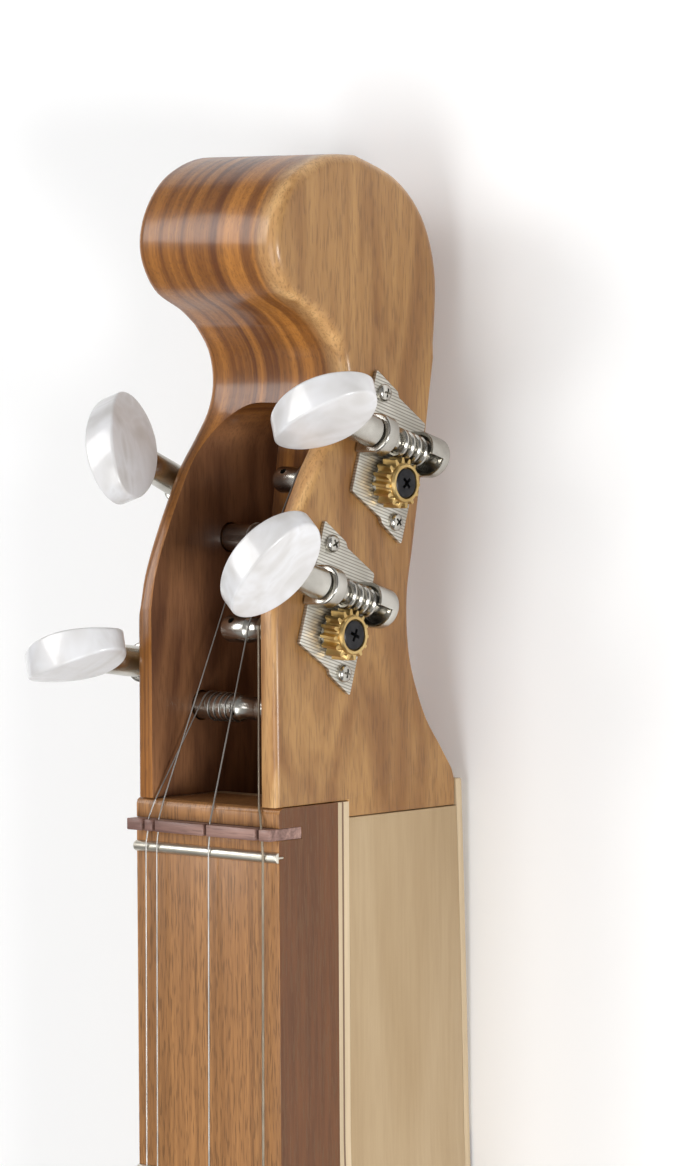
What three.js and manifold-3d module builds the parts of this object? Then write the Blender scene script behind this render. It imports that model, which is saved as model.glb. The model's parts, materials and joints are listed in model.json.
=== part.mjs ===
// A four-string mountain dulcimer lying on its back, in millimetres.
// +X runs from the scroll to the tail, +Y to the bass side, +Z out of the fretboard.
// Origin: middle of the length and the width, on the plane that the back rests on.

import * as THREE from 'three';
import { mergeVertices } from 'three/addons/utils/BufferGeometryUtils.js';
import Module from 'manifold-3d';

const wasm = await Module();
wasm.setup();

// ---------------------------------------------------------------- driving dimensions

const LENGTH = 910;
const HEAD_LENGTH = 149.5;
const JOINT_X = HEAD_LENGTH - LENGTH / 2;      // where the fretboard meets the head
const FRONT_Z = 66.6;                          // playing surface of the fretboard
const FIT = 0.1;                               // gap between pieces that are glued or seated

const BOARD_WIDTH = 45.6;
const BOARD_HEIGHT = 20;
const BOARD_LENGTH = 756;
const STRING_LENGTH = 700;
const ZERO_FRET = 11.3;                        // from the joint to the zero fret
const FRET_STEPS = [2, 4, 5, 7, 9, 10, 11, 12, 14, 16, 17, 19, 21, 22];
const CROWN = { width: 2.5, height: 1.3 };
const TANG = { width: 0.5, depth: 1.6 };
const NUT = { near: 4.6, thick: 2.7, below: 7.7, above: 3.3 };
const HOLLOW = { start: 532, end: 628, depth: 8, slope: 22 };
const CHANNEL = { start: 60, end: 500, width: 22, depth: 11 };

const TOP_THICK = 3.8;
const BACK_THICK = 2;
const BACK_RISE = { height: 3, length: 160 };  // the back lifts towards the head
const SIDE_THICK = 2.4;
const WAIST_STATIONS = [                       // distance from the joint, half width
  [85, BOARD_WIDTH / 2],
  [230, 66],
  [400, 52],
  [560, 90],
];
const TAIL_HALF_WIDTH = 32;
const TAIL_BLOCK = 20;
const NECK_BLOCK = 30;
const BRACES = [
  { name: 'top_brace_upper', at: 235, top: true },
  { name: 'top_brace_lower', at: 520, top: true },
  { name: 'back_brace_upper', at: 235, top: false },
  { name: 'back_brace_lower', at: 560, top: false },
];
const BRACE = { width: 8, height: 9, clear: 4 };
const SOUND_HOLES = [
  { at: 225, out: 44, radius: 9 },
  { at: 560, out: 57, radius: 13 },
];

const HEAD_WIDTH = 45;
const CHEEK = 5;
const HEAD_STEP = 3.7;                         // the head runs this far past the joint below the top
const SLOT_TOP = 92;
const SLOT_RADIUS = 13;

// Strings: radius, and y at each bearing point from the frets to the post.
const STRINGS = [
  { name: 'melody_outer', radius: 0.17, fret: -18.2, nut: -17.4, edge: -16.6, post: -14.3 },
  { name: 'melody_inner', radius: 0.17, fret: -14.7, nut: -14.1, edge: -13.9, post: -8.9 },
  { name: 'middle', radius: 0.2, fret: 2.0, nut: 2.3, edge: 2.2, post: -0.8 },
  { name: 'bass', radius: 0.3, fret: 19.3, nut: 18.6, edge: 16.8, post: 3.7 },
];
const PASSED_POSTS = { middle: ['bass', 'melody_inner'] };  // posts that a string lies over
const BRIDGE = { at: ZERO_FRET + STRING_LENGTH, foot: 8, crest: 2.4, height: 6.4, seat: 1.0 };
const PIN = { radius: 1.1, head: 2.1, out: 4.4, depth: 12 };
const PIN_PLACES = { melody_outer: [-18, 37], melody_inner: [-11, 33], middle: [2, 36], bass: [18, 35] };

// Tuners: side of the head, post axis (distance above the joint, depth below the front surface),
// tilt of the worm shaft, reach from the post axis to the button, and how the button is turned.
const TUNERS = {
  melody_outer: { side: -1, up: 20.8, deep: 17.0, tilt: 7.5, reach: 33.0, turn: -18 },
  melody_inner: { side: -1, up: 60.0, deep: 27.0, tilt: 24.5, reach: 32.5, turn: 68 },
  middle: { side: 1, up: 73.5, deep: 35.6, tilt: 17.5, reach: 29.3, turn: 28 },
  bass: { side: 1, up: 39.2, deep: 17.5, tilt: 17.5, reach: 29.3, turn: 52 },
};
const POST = { radius: 3.175, waist: 2.75, end: 32, holes: [17.3, 28.8], hole: 0.8, clear: 0.45, turn: 65 };
const PLATE = { thick: 1.2, half: 10, bore: 3.5 };
const WORM = { away: 8.9, height: 5.45, core: 2.75, crest: 3.55, ridge: 0.5 };
const THREAD = { start: -3.6, turns: 4.6, facets: 9 };
const GEAR = { teeth: 15, outer: 5.95, root: 4.9, low: 2.7, high: 7.3, face: 8.2, ring: 4.5, bore: 2.45 };
const PITCH = 2.35;                            // of the worm, equal to the gear's tooth spacing
const BRACKET = { near: [-11.4, -7.6], far: [9.2, 13.4], radius: 5, shaft: 3.05 };
const BUTTON = { long: 14, short: 8.5, thick: 9, edge: 5 };

// ---------------------------------------------------------------- materials

function material(color, roughness, metalness = 0) {
  return new THREE.MeshStandardMaterial({ color, roughness, metalness });
}

const MATERIALS = {
  walnut: material(0x9a6a3c, 0.5),
  board: material(0x7a5238, 0.6),
  maple: material(0xd8c3a0, 0.5),
  spruce: material(0xd9bd8a, 0.7),
  nut: material(0x6b4a44, 0.6),
  fret: material(0xc9c6b8, 0.3, 1),
  steel: material(0xd0d0d0, 0.3, 1),
  nickel: material(0xbfbab0, 0.25, 1),
  brass: material(0xb8944c, 0.35, 1),
  black: material(0x202022, 0.5, 0.6),
  pearl: material(0xe8e6e6, 0.25),
};

// ---------------------------------------------------------------- helpers

const object = new THREE.Group();
const rad = THREE.MathUtils.degToRad;

function solid(geometry) {
  const bare = geometry.clone();
  bare.deleteAttribute('normal');
  bare.deleteAttribute('uv');
  const merged = mergeVertices(bare, 1e-4);
  return new wasm.Manifold(new wasm.Mesh({
    numProp: 3,
    vertProperties: new Float32Array(merged.attributes.position.array),
    triVerts: new Uint32Array(merged.index.array),
  }));
}

function surface(body) {
  const { vertProperties, triVerts } = body.getMesh();
  const geometry = new THREE.BufferGeometry();
  geometry.setAttribute('position', new THREE.BufferAttribute(vertProperties, 3));
  geometry.setIndex(new THREE.BufferAttribute(triVerts, 1));
  geometry.computeVertexNormals();
  return geometry;
}

function place(name, shape, look, parent = object) {
  const geometry = shape.isBufferGeometry ? shape : surface(shape);
  const mesh = new THREE.Mesh(geometry, MATERIALS[look]);
  mesh.name = name;
  parent.add(mesh);
  return mesh;
}

function box(x0, x1, y0, y1, z0, z1) {
  const geometry = new THREE.BoxGeometry(x1 - x0, y1 - y0, z1 - z0);
  return geometry.translate((x0 + x1) / 2, (y0 + y1) / 2, (z0 + z1) / 2);
}

// A shape drawn in X and Y, raised from z0 to z1.
function raise(shape, z0, z1, curveSegments = 8) {
  const geometry = new THREE.ExtrudeGeometry(shape, { depth: z1 - z0, bevelEnabled: false, curveSegments });
  return geometry.translate(0, 0, z0);
}

// A shape drawn in X and Z, spread across Y from y0 to y1.
function spread(shape, y0, y1, curveSegments = 8) {
  return raise(shape, 0, y1 - y0, curveSegments).rotateX(Math.PI / 2).translate(0, y1, 0);
}

// A profile of [radius, height] points turned about Z.
function turn(profile, segments = 14) {
  const points = profile.map(([r, h]) => new THREE.Vector2(r, h));
  return new THREE.LatheGeometry(points, segments).rotateX(Math.PI / 2);
}

function polygon(points) {
  return new THREE.Shape(points.map(([a, b]) => new THREE.Vector2(a, b)));
}

// A point of the head, given how far it lies above the joint and how deep below the front.
function headPoint([up, deep]) {
  return new THREE.Vector2(JOINT_X - up, FRONT_Z - deep);
}

// Height of the back's resting face at a distance from the joint.
function backLift(distance) {
  const along = Math.min(distance / BACK_RISE.length, 1);
  return BACK_RISE.height * (1 - along) ** 2;
}

// Half width of the body at a distance from the joint.
function halfWidth(distance) {
  const [first] = WAIST_STATIONS;
  const last = WAIST_STATIONS[WAIST_STATIONS.length - 1];
  if (distance <= first[0]) {
    return first[1];
  }
  if (distance >= last[0]) {
    const along = (distance - last[0]) / (BOARD_LENGTH - last[0]);
    return TAIL_HALF_WIDTH + (last[1] - TAIL_HALF_WIDTH) * Math.cos(along * Math.PI / 2);
  }
  const i = WAIST_STATIONS.findIndex(([at]) => at > distance) - 1;
  const [a, wa] = WAIST_STATIONS[i];
  const [b, wb] = WAIST_STATIONS[i + 1];
  const blend = (1 - Math.cos(Math.PI * (distance - a) / (b - a))) / 2;
  return wa + (wb - wa) * blend;
}

// One edge of the body's outline, set in by a distance measured square to it.
function bodyEdge(start, end, inset, side) {
  const steps = Math.ceil((end - start) / 16);
  const points = [];
  for (let i = 0; i <= steps; i += 1) {
    const at = start + (end - start) * i / steps;
    const slope = halfWidth(at + 0.5) - halfWidth(at - 0.5);
    const across = halfWidth(at) - inset * Math.hypot(1, slope);
    points.push([JOINT_X + at, side * across]);
  }
  return points;
}

function bodyOutline(start, end, inset) {
  const bass = bodyEdge(start, end, inset, 1);
  const treble = bodyEdge(start, end, inset, -1);
  return polygon([...treble, ...bass.reverse()]);
}

// Everything under the back's upper face, used to trim what stands on the back.
function underBack(clear) {
  const top = [];
  const steps = 12;
  for (let i = 0; i <= steps; i += 1) {
    const distance = -HEAD_STEP + (BACK_RISE.length + HEAD_STEP) * i / steps;
    top.push([JOINT_X + distance, BACK_THICK + backLift(distance) + clear]);
  }
  const tail = LENGTH / 2 + 10;
  const low = -20;
  const profile = polygon([
    [JOINT_X - 10, low],
    [tail, low],
    [tail, BACK_THICK + clear],
    ...top.reverse(),
    [JOINT_X - 10, BACK_THICK + backLift(-HEAD_STEP) + clear],
  ]);
  return solid(spread(profile, -120, 120));
}

// ---------------------------------------------------------------- body

const topZ = FRONT_Z - BOARD_HEIGHT;           // upper face of the soundboard
const sideZ = topZ - TOP_THICK;                // upper edge of the sides

function soundboard() {
  const shape = bodyOutline(0, BOARD_LENGTH, 0);
  for (const { at, out, radius } of SOUND_HOLES) {
    for (const side of [-1, 1]) {
      const hole = new THREE.Path();
      hole.absarc(JOINT_X + at, side * out, radius, 0, 2 * Math.PI);
      shape.holes.push(hole);
    }
  }
  return raise(shape, sideZ, topZ, 8);
}

function back() {
  const plan = solid(raise(bodyOutline(-2.6, BOARD_LENGTH, 0), -1, 20));
  const upper = underBack(0);
  const lower = underBack(-BACK_THICK);
  return plan.intersect(upper).subtract(lower);
}

function sidePanel(side) {
  const outer = bodyEdge(HEAD_STEP + FIT, BOARD_LENGTH, 0, side);
  const inner = bodyEdge(HEAD_STEP + FIT, BOARD_LENGTH, SIDE_THICK, side);
  const ring = side > 0 ? [...inner, ...outer.reverse()] : [...outer, ...inner.reverse()];
  return solid(raise(polygon(ring), 0, sideZ)).subtract(underBack(FIT));
}

function tailBlock() {
  const start = BOARD_LENGTH - TAIL_BLOCK;
  const plan = bodyOutline(start, BOARD_LENGTH, SIDE_THICK + FIT);
  let block = solid(raise(plan, 0, sideZ - FIT)).subtract(underBack(FIT));
  const end = JOINT_X + BOARD_LENGTH;
  for (const [y, z] of Object.values(PIN_PLACES)) {
    const hole = turn([[0, 0], [PIN.radius + FIT, 0], [PIN.radius + FIT, 40], [0, 40]], 8);
    block = block.subtract(solid(hole.rotateY(Math.PI / 2).translate(end - PIN.depth, y, z)));
  }
  return block;
}

function brace({ at, top }) {
  const x = JOINT_X + at;
  const reach = halfWidth(at) - SIDE_THICK - BRACE.clear;
  const seat = top ? sideZ - FIT : BACK_THICK + FIT;
  const free = top ? seat - BRACE.height : seat + BRACE.height;
  const tip = top ? seat - BRACE.height / 3 : seat + BRACE.height / 3;
  const crown = reach * 2 / 3;
  const profile = [[-reach, seat], [reach, seat], [reach, tip], [crown, free], [-crown, free], [-reach, tip]];
  const shape = polygon(top ? profile.reverse() : profile);
  return spread(shape, -BRACE.width / 2, BRACE.width / 2).rotateZ(Math.PI / 2).translate(x, 0, 0);
}

// ---------------------------------------------------------------- fretboard, frets, nut, bridge

function fretPlaces() {
  return [0, ...FRET_STEPS].map((step) => ZERO_FRET + STRING_LENGTH * (1 - 2 ** (-step / 12)));
}

function fretboard() {
  const notch = (from, to, depth) => [[from, 0], [from, -depth], [to, -depth], [to, 0]];
  const edge = 1.4;
  const round = 4;
  const slot = TANG.width / 2 + FIT / 2;
  const nutGap = FIT / 2;
  const outline = [[0, -BOARD_HEIGHT], [0, -edge], [edge * 0.3, -edge * 0.3], [edge, 0]];
  outline.push(...notch(NUT.near - nutGap, NUT.near + NUT.thick + nutGap, NUT.below));
  for (const at of fretPlaces()) {
    outline.push(...notch(at - slot, at + slot, TANG.depth + FIT));
  }
  const { start, end, depth, slope } = HOLLOW;
  const swoop = [0, 0.25, 0.5, 0.75, 1];
  const drop = (t) => -depth * (1 - Math.cos(Math.PI * t)) / 2;
  outline.push(...swoop.map((t) => [start + slope * t, drop(t)]));
  outline.push(...swoop.map((t) => [end - slope * (1 - t), drop(1 - t)]));
  for (let i = 0; i <= 6; i += 1) {
    const angle = i * Math.PI / 12;
    outline.push([BOARD_LENGTH - round * (1 - Math.sin(angle)), -round * (1 - Math.cos(angle))]);
  }
  outline.push([BOARD_LENGTH, -BOARD_HEIGHT]);
  const points = outline.map(([at, z]) => [JOINT_X + at, FRONT_Z + z]).reverse();
  const half = BOARD_WIDTH / 2;
  const board = solid(spread(polygon(points), -half, half));
  const x0 = JOINT_X + CHANNEL.start;
  const x1 = JOINT_X + CHANNEL.end;
  const wide = CHANNEL.width / 2;
  return board.subtract(solid(box(x0, x1, -wide, wide, topZ - 5, topZ + CHANNEL.depth)));
}

function fret(at) {
  const x = JOINT_X + at;
  const seat = FRONT_Z + 0.02;
  const shape = new THREE.Shape();
  shape.moveTo(x + TANG.width / 2, seat);
  shape.lineTo(x + CROWN.width / 2, seat);
  shape.absellipse(x, seat, CROWN.width / 2, CROWN.height, 0, Math.PI, false);
  shape.lineTo(x - TANG.width / 2, seat);
  shape.lineTo(x - TANG.width / 2, seat - TANG.depth);
  shape.lineTo(x + TANG.width / 2, seat - TANG.depth);
  return spread(shape, -BOARD_WIDTH / 2, BOARD_WIDTH / 2, 8);
}

const kerfZ = FRONT_Z + 1.05;                  // bottom of the nut's string slots

function nut() {
  const x0 = JOINT_X + NUT.near;
  const half = BOARD_WIDTH / 2;
  const z0 = FRONT_Z - NUT.below + FIT / 2;
  let bar = solid(box(x0, x0 + NUT.thick, -half, half, z0, FRONT_Z + NUT.above));
  for (const string of STRINGS) {
    const y = (string.nut * 3 + string.fret) / 4;
    const wide = string.radius + 0.35;
    bar = bar.subtract(solid(box(x0 - 1, x0 + NUT.thick + 1, y - wide, y + wide, kerfZ, FRONT_Z + 9)));
  }
  return bar;
}

const bridgeZ = FRONT_Z + BRIDGE.height;       // height of the bridge's crest

function bridge() {
  const x = JOINT_X + BRIDGE.at;
  const half = BOARD_WIDTH / 2 - 1;
  const foot = BRIDGE.foot / 2;
  const crest = BRIDGE.crest / 2;
  const low = FRONT_Z + FIT;
  const shape = polygon([
    [x - foot, low],
    [x + foot, low],
    [x + foot, low + BRIDGE.seat],
    [x + crest, bridgeZ],
    [x - crest, bridgeZ],
    [x - foot, low + BRIDGE.seat],
  ]);
  return spread(shape, -half, half);
}

// ---------------------------------------------------------------- strings and pins

// A route through hand-placed points, stepped from point to point so that no bend is cut short.
class Route extends THREE.Curve {
  constructor(points) {
    super();
    this.points = points;
  }

  getPoint(t, target = new THREE.Vector3()) {
    const place = t * (this.points.length - 1);
    const i = Math.min(Math.floor(place), this.points.length - 2);
    return target.lerpVectors(this.points[i], this.points[i + 1], place - i);
  }

  getPointAt(t, target) {
    return this.getPoint(t, target);
  }

  getTangentAt(t, target) {
    return this.getTangent(t, target);
  }

  getSpacedPoints(divisions) {
    return this.getPoints(divisions);
  }
}

function tube(points, radius, sides) {
  const section = new THREE.Shape();
  for (let i = 0; i < sides; i += 1) {
    const angle = 2 * Math.PI * i / sides;
    section[i ? 'lineTo' : 'moveTo'](radius * Math.cos(angle), radius * Math.sin(angle));
  }
  const path = new Route(points);
  return new THREE.ExtrudeGeometry(section, {
    steps: points.length - 1, bevelEnabled: false, extrudePath: path,
  });
}

// Where a string that leaves a bearing point [up, deep] meets the front of a post.
function tangentPoint([up, deep], tuner, radius) {
  const rise = tuner.up - up;
  const sink = tuner.deep - deep;
  const slope = Math.atan2(sink, rise) - Math.asin(radius / Math.hypot(rise, sink));
  return [tuner.up + radius * Math.sin(slope), tuner.deep - radius * Math.cos(slope)];
}

function string({ name, fret: fretY, nut: nutY, edge, post, radius }) {
  const lift = radius + 0.12;
  const around = POST.radius + radius + 0.3;
  const [pinY, pinZ] = PIN_PLACES[name];
  const at = (distance, y, z) => new THREE.Vector3(JOINT_X + distance, y, z);
  const bearings = [[0, -lift]];
  for (const passed of PASSED_POSTS[name] ?? []) {
    const { up, deep } = TUNERS[passed];
    bearings.push([up + 1, deep - around]);
  }
  const end = tangentPoint(bearings[bearings.length - 1], TUNERS[name], around);
  const slotPoints = [...bearings.slice(1), end].reverse().map(([up, deep]) =>
    at(-up, edge + (post - edge) * up / end[0], FRONT_Z - deep));
  const points = [
    ...slotPoints,
    at(0.25, edge, FRONT_Z + lift - 0.25),
    at(1.3, (edge * 2 + nutY) / 3, FRONT_Z + lift + 0.1),
    at(NUT.near - 0.4, nutY, kerfZ + lift),
    at(NUT.near + NUT.thick + 0.2, (nutY + fretY) / 2, kerfZ + lift + 0.05),
    at(ZERO_FRET - 0.8, fretY, FRONT_Z + CROWN.height + lift),
    at(ZERO_FRET + 0.8, fretY, FRONT_Z + CROWN.height + lift),
    at(BRIDGE.at - 1.3, fretY, bridgeZ + lift),
    at(BRIDGE.at + 1.3, fretY, bridgeZ + lift),
    at(BOARD_LENGTH - 3.5, (fretY + pinY) / 2, FRONT_Z + lift + 0.2),
    at(BOARD_LENGTH - 0.8, (fretY + pinY) / 2, FRONT_Z - 0.9 + lift),
    at(BOARD_LENGTH + lift + 0.1, (fretY + pinY) / 2, FRONT_Z - 4),
    at(BOARD_LENGTH + lift + 0.6, pinY, pinZ + PIN.radius + radius + 0.4),
  ];
  return tube(points, radius, 8);
}

function hitchPin([y, z]) {
  const { radius, head, out, depth } = PIN;
  const profile = [
    [0, FIT - depth],
    [radius, FIT - depth],
    [radius, out - 1.6],
    [head, out - 1.2],
    [head, out - 0.5],
    [head - 0.6, out],
    [0, out],
  ];
  return turn(profile, 10).rotateY(Math.PI / 2).translate(JOINT_X + BOARD_LENGTH, y, z);
}

// ---------------------------------------------------------------- head

// The side view of the head: throat, scroll, underside and foot, as [up, deep] points.
const THROAT = [
  [52, 1.5], [62, 5.5], [75.9, 12.7], [84, 18.8],
  [90.5, 23.2], [97, 24.7], [104, 23.2], [110, 18.6],
];
const SCROLL = [
  [113.4, 13.9], [118.2, 5.2], [126.8, 0.6], [136, 1.9],
  [144.3, 8.2], [149, 18.5], [149.4, 29.5],
];
const UNDERSIDE = [
  [144.4, 42.8], [135.8, 52], [123.2, 56.6], [108.7, 56.2],
  [92.3, 53.6], [76, 50.8], [57.4, 47.4],
];
const FOOT = [[45.7, 45.4], [31.7, 46.2], [18.8, 50.9], [11.2, 56.1], [5.4, 60.2]];
const THROAT_START = 44;
const FOOT_END = 2.6;

function headOutline() {
  const shape = new THREE.Shape();
  const to = (point) => shape.lineTo(...headPoint(point).toArray());
  const below = BOARD_HEIGHT + TOP_THICK + FIT;
  const rest = FRONT_Z - BACK_THICK - backLift(-HEAD_STEP) - FIT;
  shape.moveTo(...headPoint([FIT, 0]).toArray());
  to([THROAT_START, 0]);
  for (const points of [THROAT, SCROLL, UNDERSIDE, [...FOOT, [FOOT_END, rest]]]) {
    shape.splineThru(points.map(headPoint));
  }
  to([-HEAD_STEP, rest]);
  to([-HEAD_STEP, below]);
  to([FIT, below]);
  return shape;
}

// The peg slot, open to the front: its plan has a round upper end, and its floor follows the back.
function slotCutter() {
  const half = HEAD_WIDTH / 2 - CHEEK;
  const plan = new THREE.Shape();
  const low = JOINT_X - FIT / 2;
  const high = JOINT_X - SLOT_TOP;
  plan.moveTo(low, -half);
  plan.lineTo(low, half);
  plan.lineTo(high + SLOT_RADIUS, half);
  plan.absarc(high + SLOT_RADIUS, half - SLOT_RADIUS, SLOT_RADIUS, Math.PI / 2, Math.PI, false);
  plan.absarc(high + SLOT_RADIUS, SLOT_RADIUS - half, SLOT_RADIUS, Math.PI, 1.5 * Math.PI, false);
  const depths = [[-5, 39], [48, 39], [80, 43.5], [120, 43.5], [120, -30], [-5, -30]];
  const floor = polygon(depths.map((point) => headPoint(point).toArray()));
  return solid(raise(plan, 0, 120, 8)).intersect(solid(spread(floor, -40, 40)));
}

function headstock() {
  const half = HEAD_WIDTH / 2;
  let head = solid(spread(headOutline(), -half, half, 3)).subtract(slotCutter());
  for (const { side, up, deep } of Object.values(TUNERS)) {
    const hole = new THREE.CylinderGeometry(POST.radius + POST.clear, POST.radius + POST.clear, 12, 20);
    const { x, y } = headPoint([up, deep]);
    head = head.subtract(solid(hole.translate(x, side * half, y)));
  }
  const inner = BOARD_WIDTH / 2 - SIDE_THICK - FIT;
  const start = JOINT_X + HEAD_STEP - 1;
  const block = solid(box(start, JOINT_X + NECK_BLOCK, -inner, inner, 1, sideZ - FIT));
  return head.add(block.subtract(underBack(FIT)));
}

// ---------------------------------------------------------------- tuners

// Each tuner is drawn lying on its side of the head: local X along the worm shaft,
// local Y from the post towards the worm, local Z out of the cheek.
function tunerGroup({ side, up, deep, tilt }) {
  const lean = rad(tilt);
  const outward = new THREE.Vector3(0, side, 0);
  const toWorm = new THREE.Vector3(-Math.cos(lean), 0, -Math.sin(lean));
  const along = new THREE.Vector3().crossVectors(toWorm, outward);
  const { x, y } = headPoint([up, deep]);
  const group = new THREE.Group();
  group.quaternion.setFromRotationMatrix(new THREE.Matrix4().makeBasis(along, toWorm, outward));
  group.position.set(x, side * HEAD_WIDTH / 2, y);
  object.add(group);
  return group;
}

// A profile of [radius, position] points turned about the worm shaft's axis.
function turnShaft(profile, segments = 10) {
  return turn(profile, segments).rotateY(Math.PI / 2).translate(0, WORM.away, WORM.height);
}

function bracket([low, high], side) {
  const shape = new THREE.Shape();
  const { away, height } = WORM;
  shape.moveTo(away - BRACKET.radius, PLATE.thick / 2);
  shape.lineTo(away + BRACKET.radius, PLATE.thick / 2);
  shape.lineTo(away + BRACKET.radius, height);
  shape.absarc(away, height, BRACKET.radius, 0, Math.PI, false);
  const hole = new THREE.Path();
  hole.absarc(away, height, BRACKET.shaft, 0, 2 * Math.PI);
  shape.holes.push(hole);
  const start = side > 0 ? low : -high;
  const across = new THREE.Matrix4().makeBasis(
    new THREE.Vector3(0, 1, 0), new THREE.Vector3(0, 0, 1), new THREE.Vector3(1, 0, 0));
  return raise(shape, 0, high - low, 10).applyMatrix4(across).translate(start, 0, 0);
}

function tunerPlate(side) {
  const half = PLATE.half;
  const step = 0.9;
  const outline = [
    [-half, 24.4], [-1.4, 21.5], [-1.0, 20.4], [half, 17.0], [half, -12.2],
    [2.0, -9.3], [1.4, -8.2], [-half, -4.9],
  ].map(([a, b]) => [side * a, b]);
  const plate = polygon(side > 0 ? outline.reverse() : outline);
  const bore = new THREE.Path();
  bore.absarc(0, 0, PLATE.bore, 0, 2 * Math.PI);
  plate.holes.push(bore);
  let body = solid(raise(plate, FIT, PLATE.thick, 10));
  const foot = box(...(side > 0 ? [half - step, BRACKET.far[1]] : [-BRACKET.far[1], step - half]),
    WORM.away - BRACKET.radius, WORM.away + BRACKET.radius, FIT, PLATE.thick);
  body = body.add(solid(foot)).add(solid(bracket(BRACKET.near, side)));
  return body.add(solid(bracket(BRACKET.far, side)));
}

function wormShaft(side, reach) {
  const neck = reach - BUTTON.short;
  const profile = [
    [0, -neck - 6], [1.4, -neck - 6], [1.4, -neck + 0.2], [2.6, -neck + 0.2],
    [3.6, -15.5], [3.6, -12], [2.8, -11.8], [2.8, -6.6], [WORM.core, -6.2],
    [WORM.core, 8.4], [2.3, 8.8], [2.3, 13.2], [0, 13.2],
  ];
  const points = side > 0 ? profile : profile.map(([r, a]) => [r, -a]).reverse();
  const shaft = solid(turnShaft(points));
  const steps = Math.round(THREAD.turns * THREAD.facets);
  const start = side > 0 ? THREAD.start : -THREAD.start - THREAD.turns * PITCH;
  const centre = WORM.crest - WORM.ridge;
  const helix = [];
  for (let i = 0; i <= steps; i += 1) {
    const a = start + PITCH * i / THREAD.facets;
    const phase = 2 * Math.PI * a / PITCH;
    helix.push(new THREE.Vector3(
      a, WORM.away - centre * Math.cos(phase), WORM.height - centre * Math.sin(phase)));
  }
  return shaft.add(solid(tube(helix, WORM.ridge, 4)));
}

function button(side, reach, turned) {
  const { long, short, thick, edge } = BUTTON;
  const oval = new THREE.Shape();
  oval.absellipse(0, 0, short, long, 0, 2 * Math.PI);
  const plan = solid(raise(oval, -thick, thick, 12));
  const lens = new THREE.Shape();
  lens.moveTo(-long - 1, -edge / 2);
  lens.quadraticCurveTo(0, edge / 2 - thick, long + 1, -edge / 2);
  lens.lineTo(long + 1, edge / 2);
  lens.quadraticCurveTo(0, thick - edge / 2, -long - 1, edge / 2);
  const crown = solid(spread(lens, -short - 1, short + 1, 6).rotateZ(Math.PI / 2));
  const socket = solid(turn([[0, -9], [1.55, -9], [1.55, 9], [0, 9]], 12).rotateY(Math.PI / 2)
    .translate(side * (short + 3), 0, 0));
  const body = surface(plan.intersect(crown).subtract(socket));
  return body.rotateX(rad(90 - turned)).translate(-side * reach, WORM.away, WORM.height);
}

function gear() {
  const outline = [];
  const pitchAngle = 2 * Math.PI / GEAR.teeth;
  const tooth = [[-0.24, GEAR.root], [0.24, GEAR.root], [0.38, GEAR.outer], [0.62, GEAR.outer]];
  for (let i = 0; i < GEAR.teeth; i += 1) {
    const gap = Math.PI / 2 + i * pitchAngle;  // a gap faces the worm
    for (const [share, radius] of tooth) {
      const angle = gap + share * pitchAngle;
      outline.push([radius * Math.cos(angle), radius * Math.sin(angle)]);
    }
  }
  const wheel = solid(raise(polygon(outline), GEAR.low, GEAR.high));
  const { ring, bore, face } = GEAR;
  const collar = solid(turn([[0, GEAR.high - 1], [ring, GEAR.high - 1], [ring, face], [0, face]]));
  const seat = face - 1.15;
  const drill = solid(turn([[0, 0], [bore, 0], [bore, seat], [3.6, seat], [3.6, face + 1], [0, face + 1]]));
  return wheel.add(collar).subtract(drill);
}

function post() {
  const { radius, waist, end, holes, hole } = POST;
  const seat = GEAR.face - 1.25;
  const bar = solid(turn([
    [0, -end], [2.4, -end], [radius, 1.2 - end], [radius, 7.6 - end], [waist, 8.4 - end],
    [waist, 12.6 - end], [radius, 13.4 - end], [radius, 1.45], [4.2, 1.45],
    [4.2, GEAR.low - FIT], [GEAR.bore - FIT, GEAR.low - FIT], [GEAR.bore - FIT, seat], [1.6, seat],
    [1.6, 0.5], [0, 0.5],
  ]));
  const drills = holes.map((at) => solid(
    new THREE.CylinderGeometry(hole, hole, 10, 8).rotateZ(rad(POST.turn)).translate(0, 0, -at)));
  return drills.reduce((body, drill) => body.subtract(drill), bar);
}

function gearScrew() {
  const low = GEAR.face - 1.05;
  const head = [[3.4, low], [3.4, low + 0.8], [2.9, low + 1.1], [0, low + 1.1]];
  return turn([[0, 0.8], [1.5, 0.8], [1.5, low], ...head]);
}

function tuner(name, spec) {
  const group = tunerGroup(spec);
  const { side, reach, turn: turned } = spec;
  place(`${name}_tuner_plate`, tunerPlate(side), 'nickel', group);
  place(`${name}_worm_shaft`, wormShaft(side, reach), 'nickel', group);
  place(`${name}_button`, button(side, reach, turned), 'pearl', group);
  place(`${name}_gear`, gear(), 'brass', group);
  place(`${name}_post`, post(), 'nickel', group);
  place(`${name}_gear_screw`, gearScrew(), 'black', group);
}

// ---------------------------------------------------------------- assembly

place('headstock', headstock(), 'walnut');
place('fretboard', fretboard(), 'board');
place('soundboard', soundboard(), 'maple');
place('back', back(), 'walnut');
place('side_bass', sidePanel(1), 'maple');
place('side_treble', sidePanel(-1), 'maple');
place('tail_block', tailBlock(), 'walnut');
for (const spec of BRACES) {
  place(spec.name, brace(spec), 'spruce');
}
place('nut', nut(), 'nut');
place('bridge', bridge(), 'nut');
fretPlaces().forEach((at, i) => place(i ? `fret_${i}` : 'zero_fret', fret(at), 'fret'));
for (const spec of STRINGS) {
  place(`${spec.name}_string`, string(spec), 'steel');
  place(`${spec.name}_hitch_pin`, hitchPin(PIN_PLACES[spec.name]), 'steel');
}
for (const [name, spec] of Object.entries(TUNERS)) {
  tuner(name, spec);
}

export default object;
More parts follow.
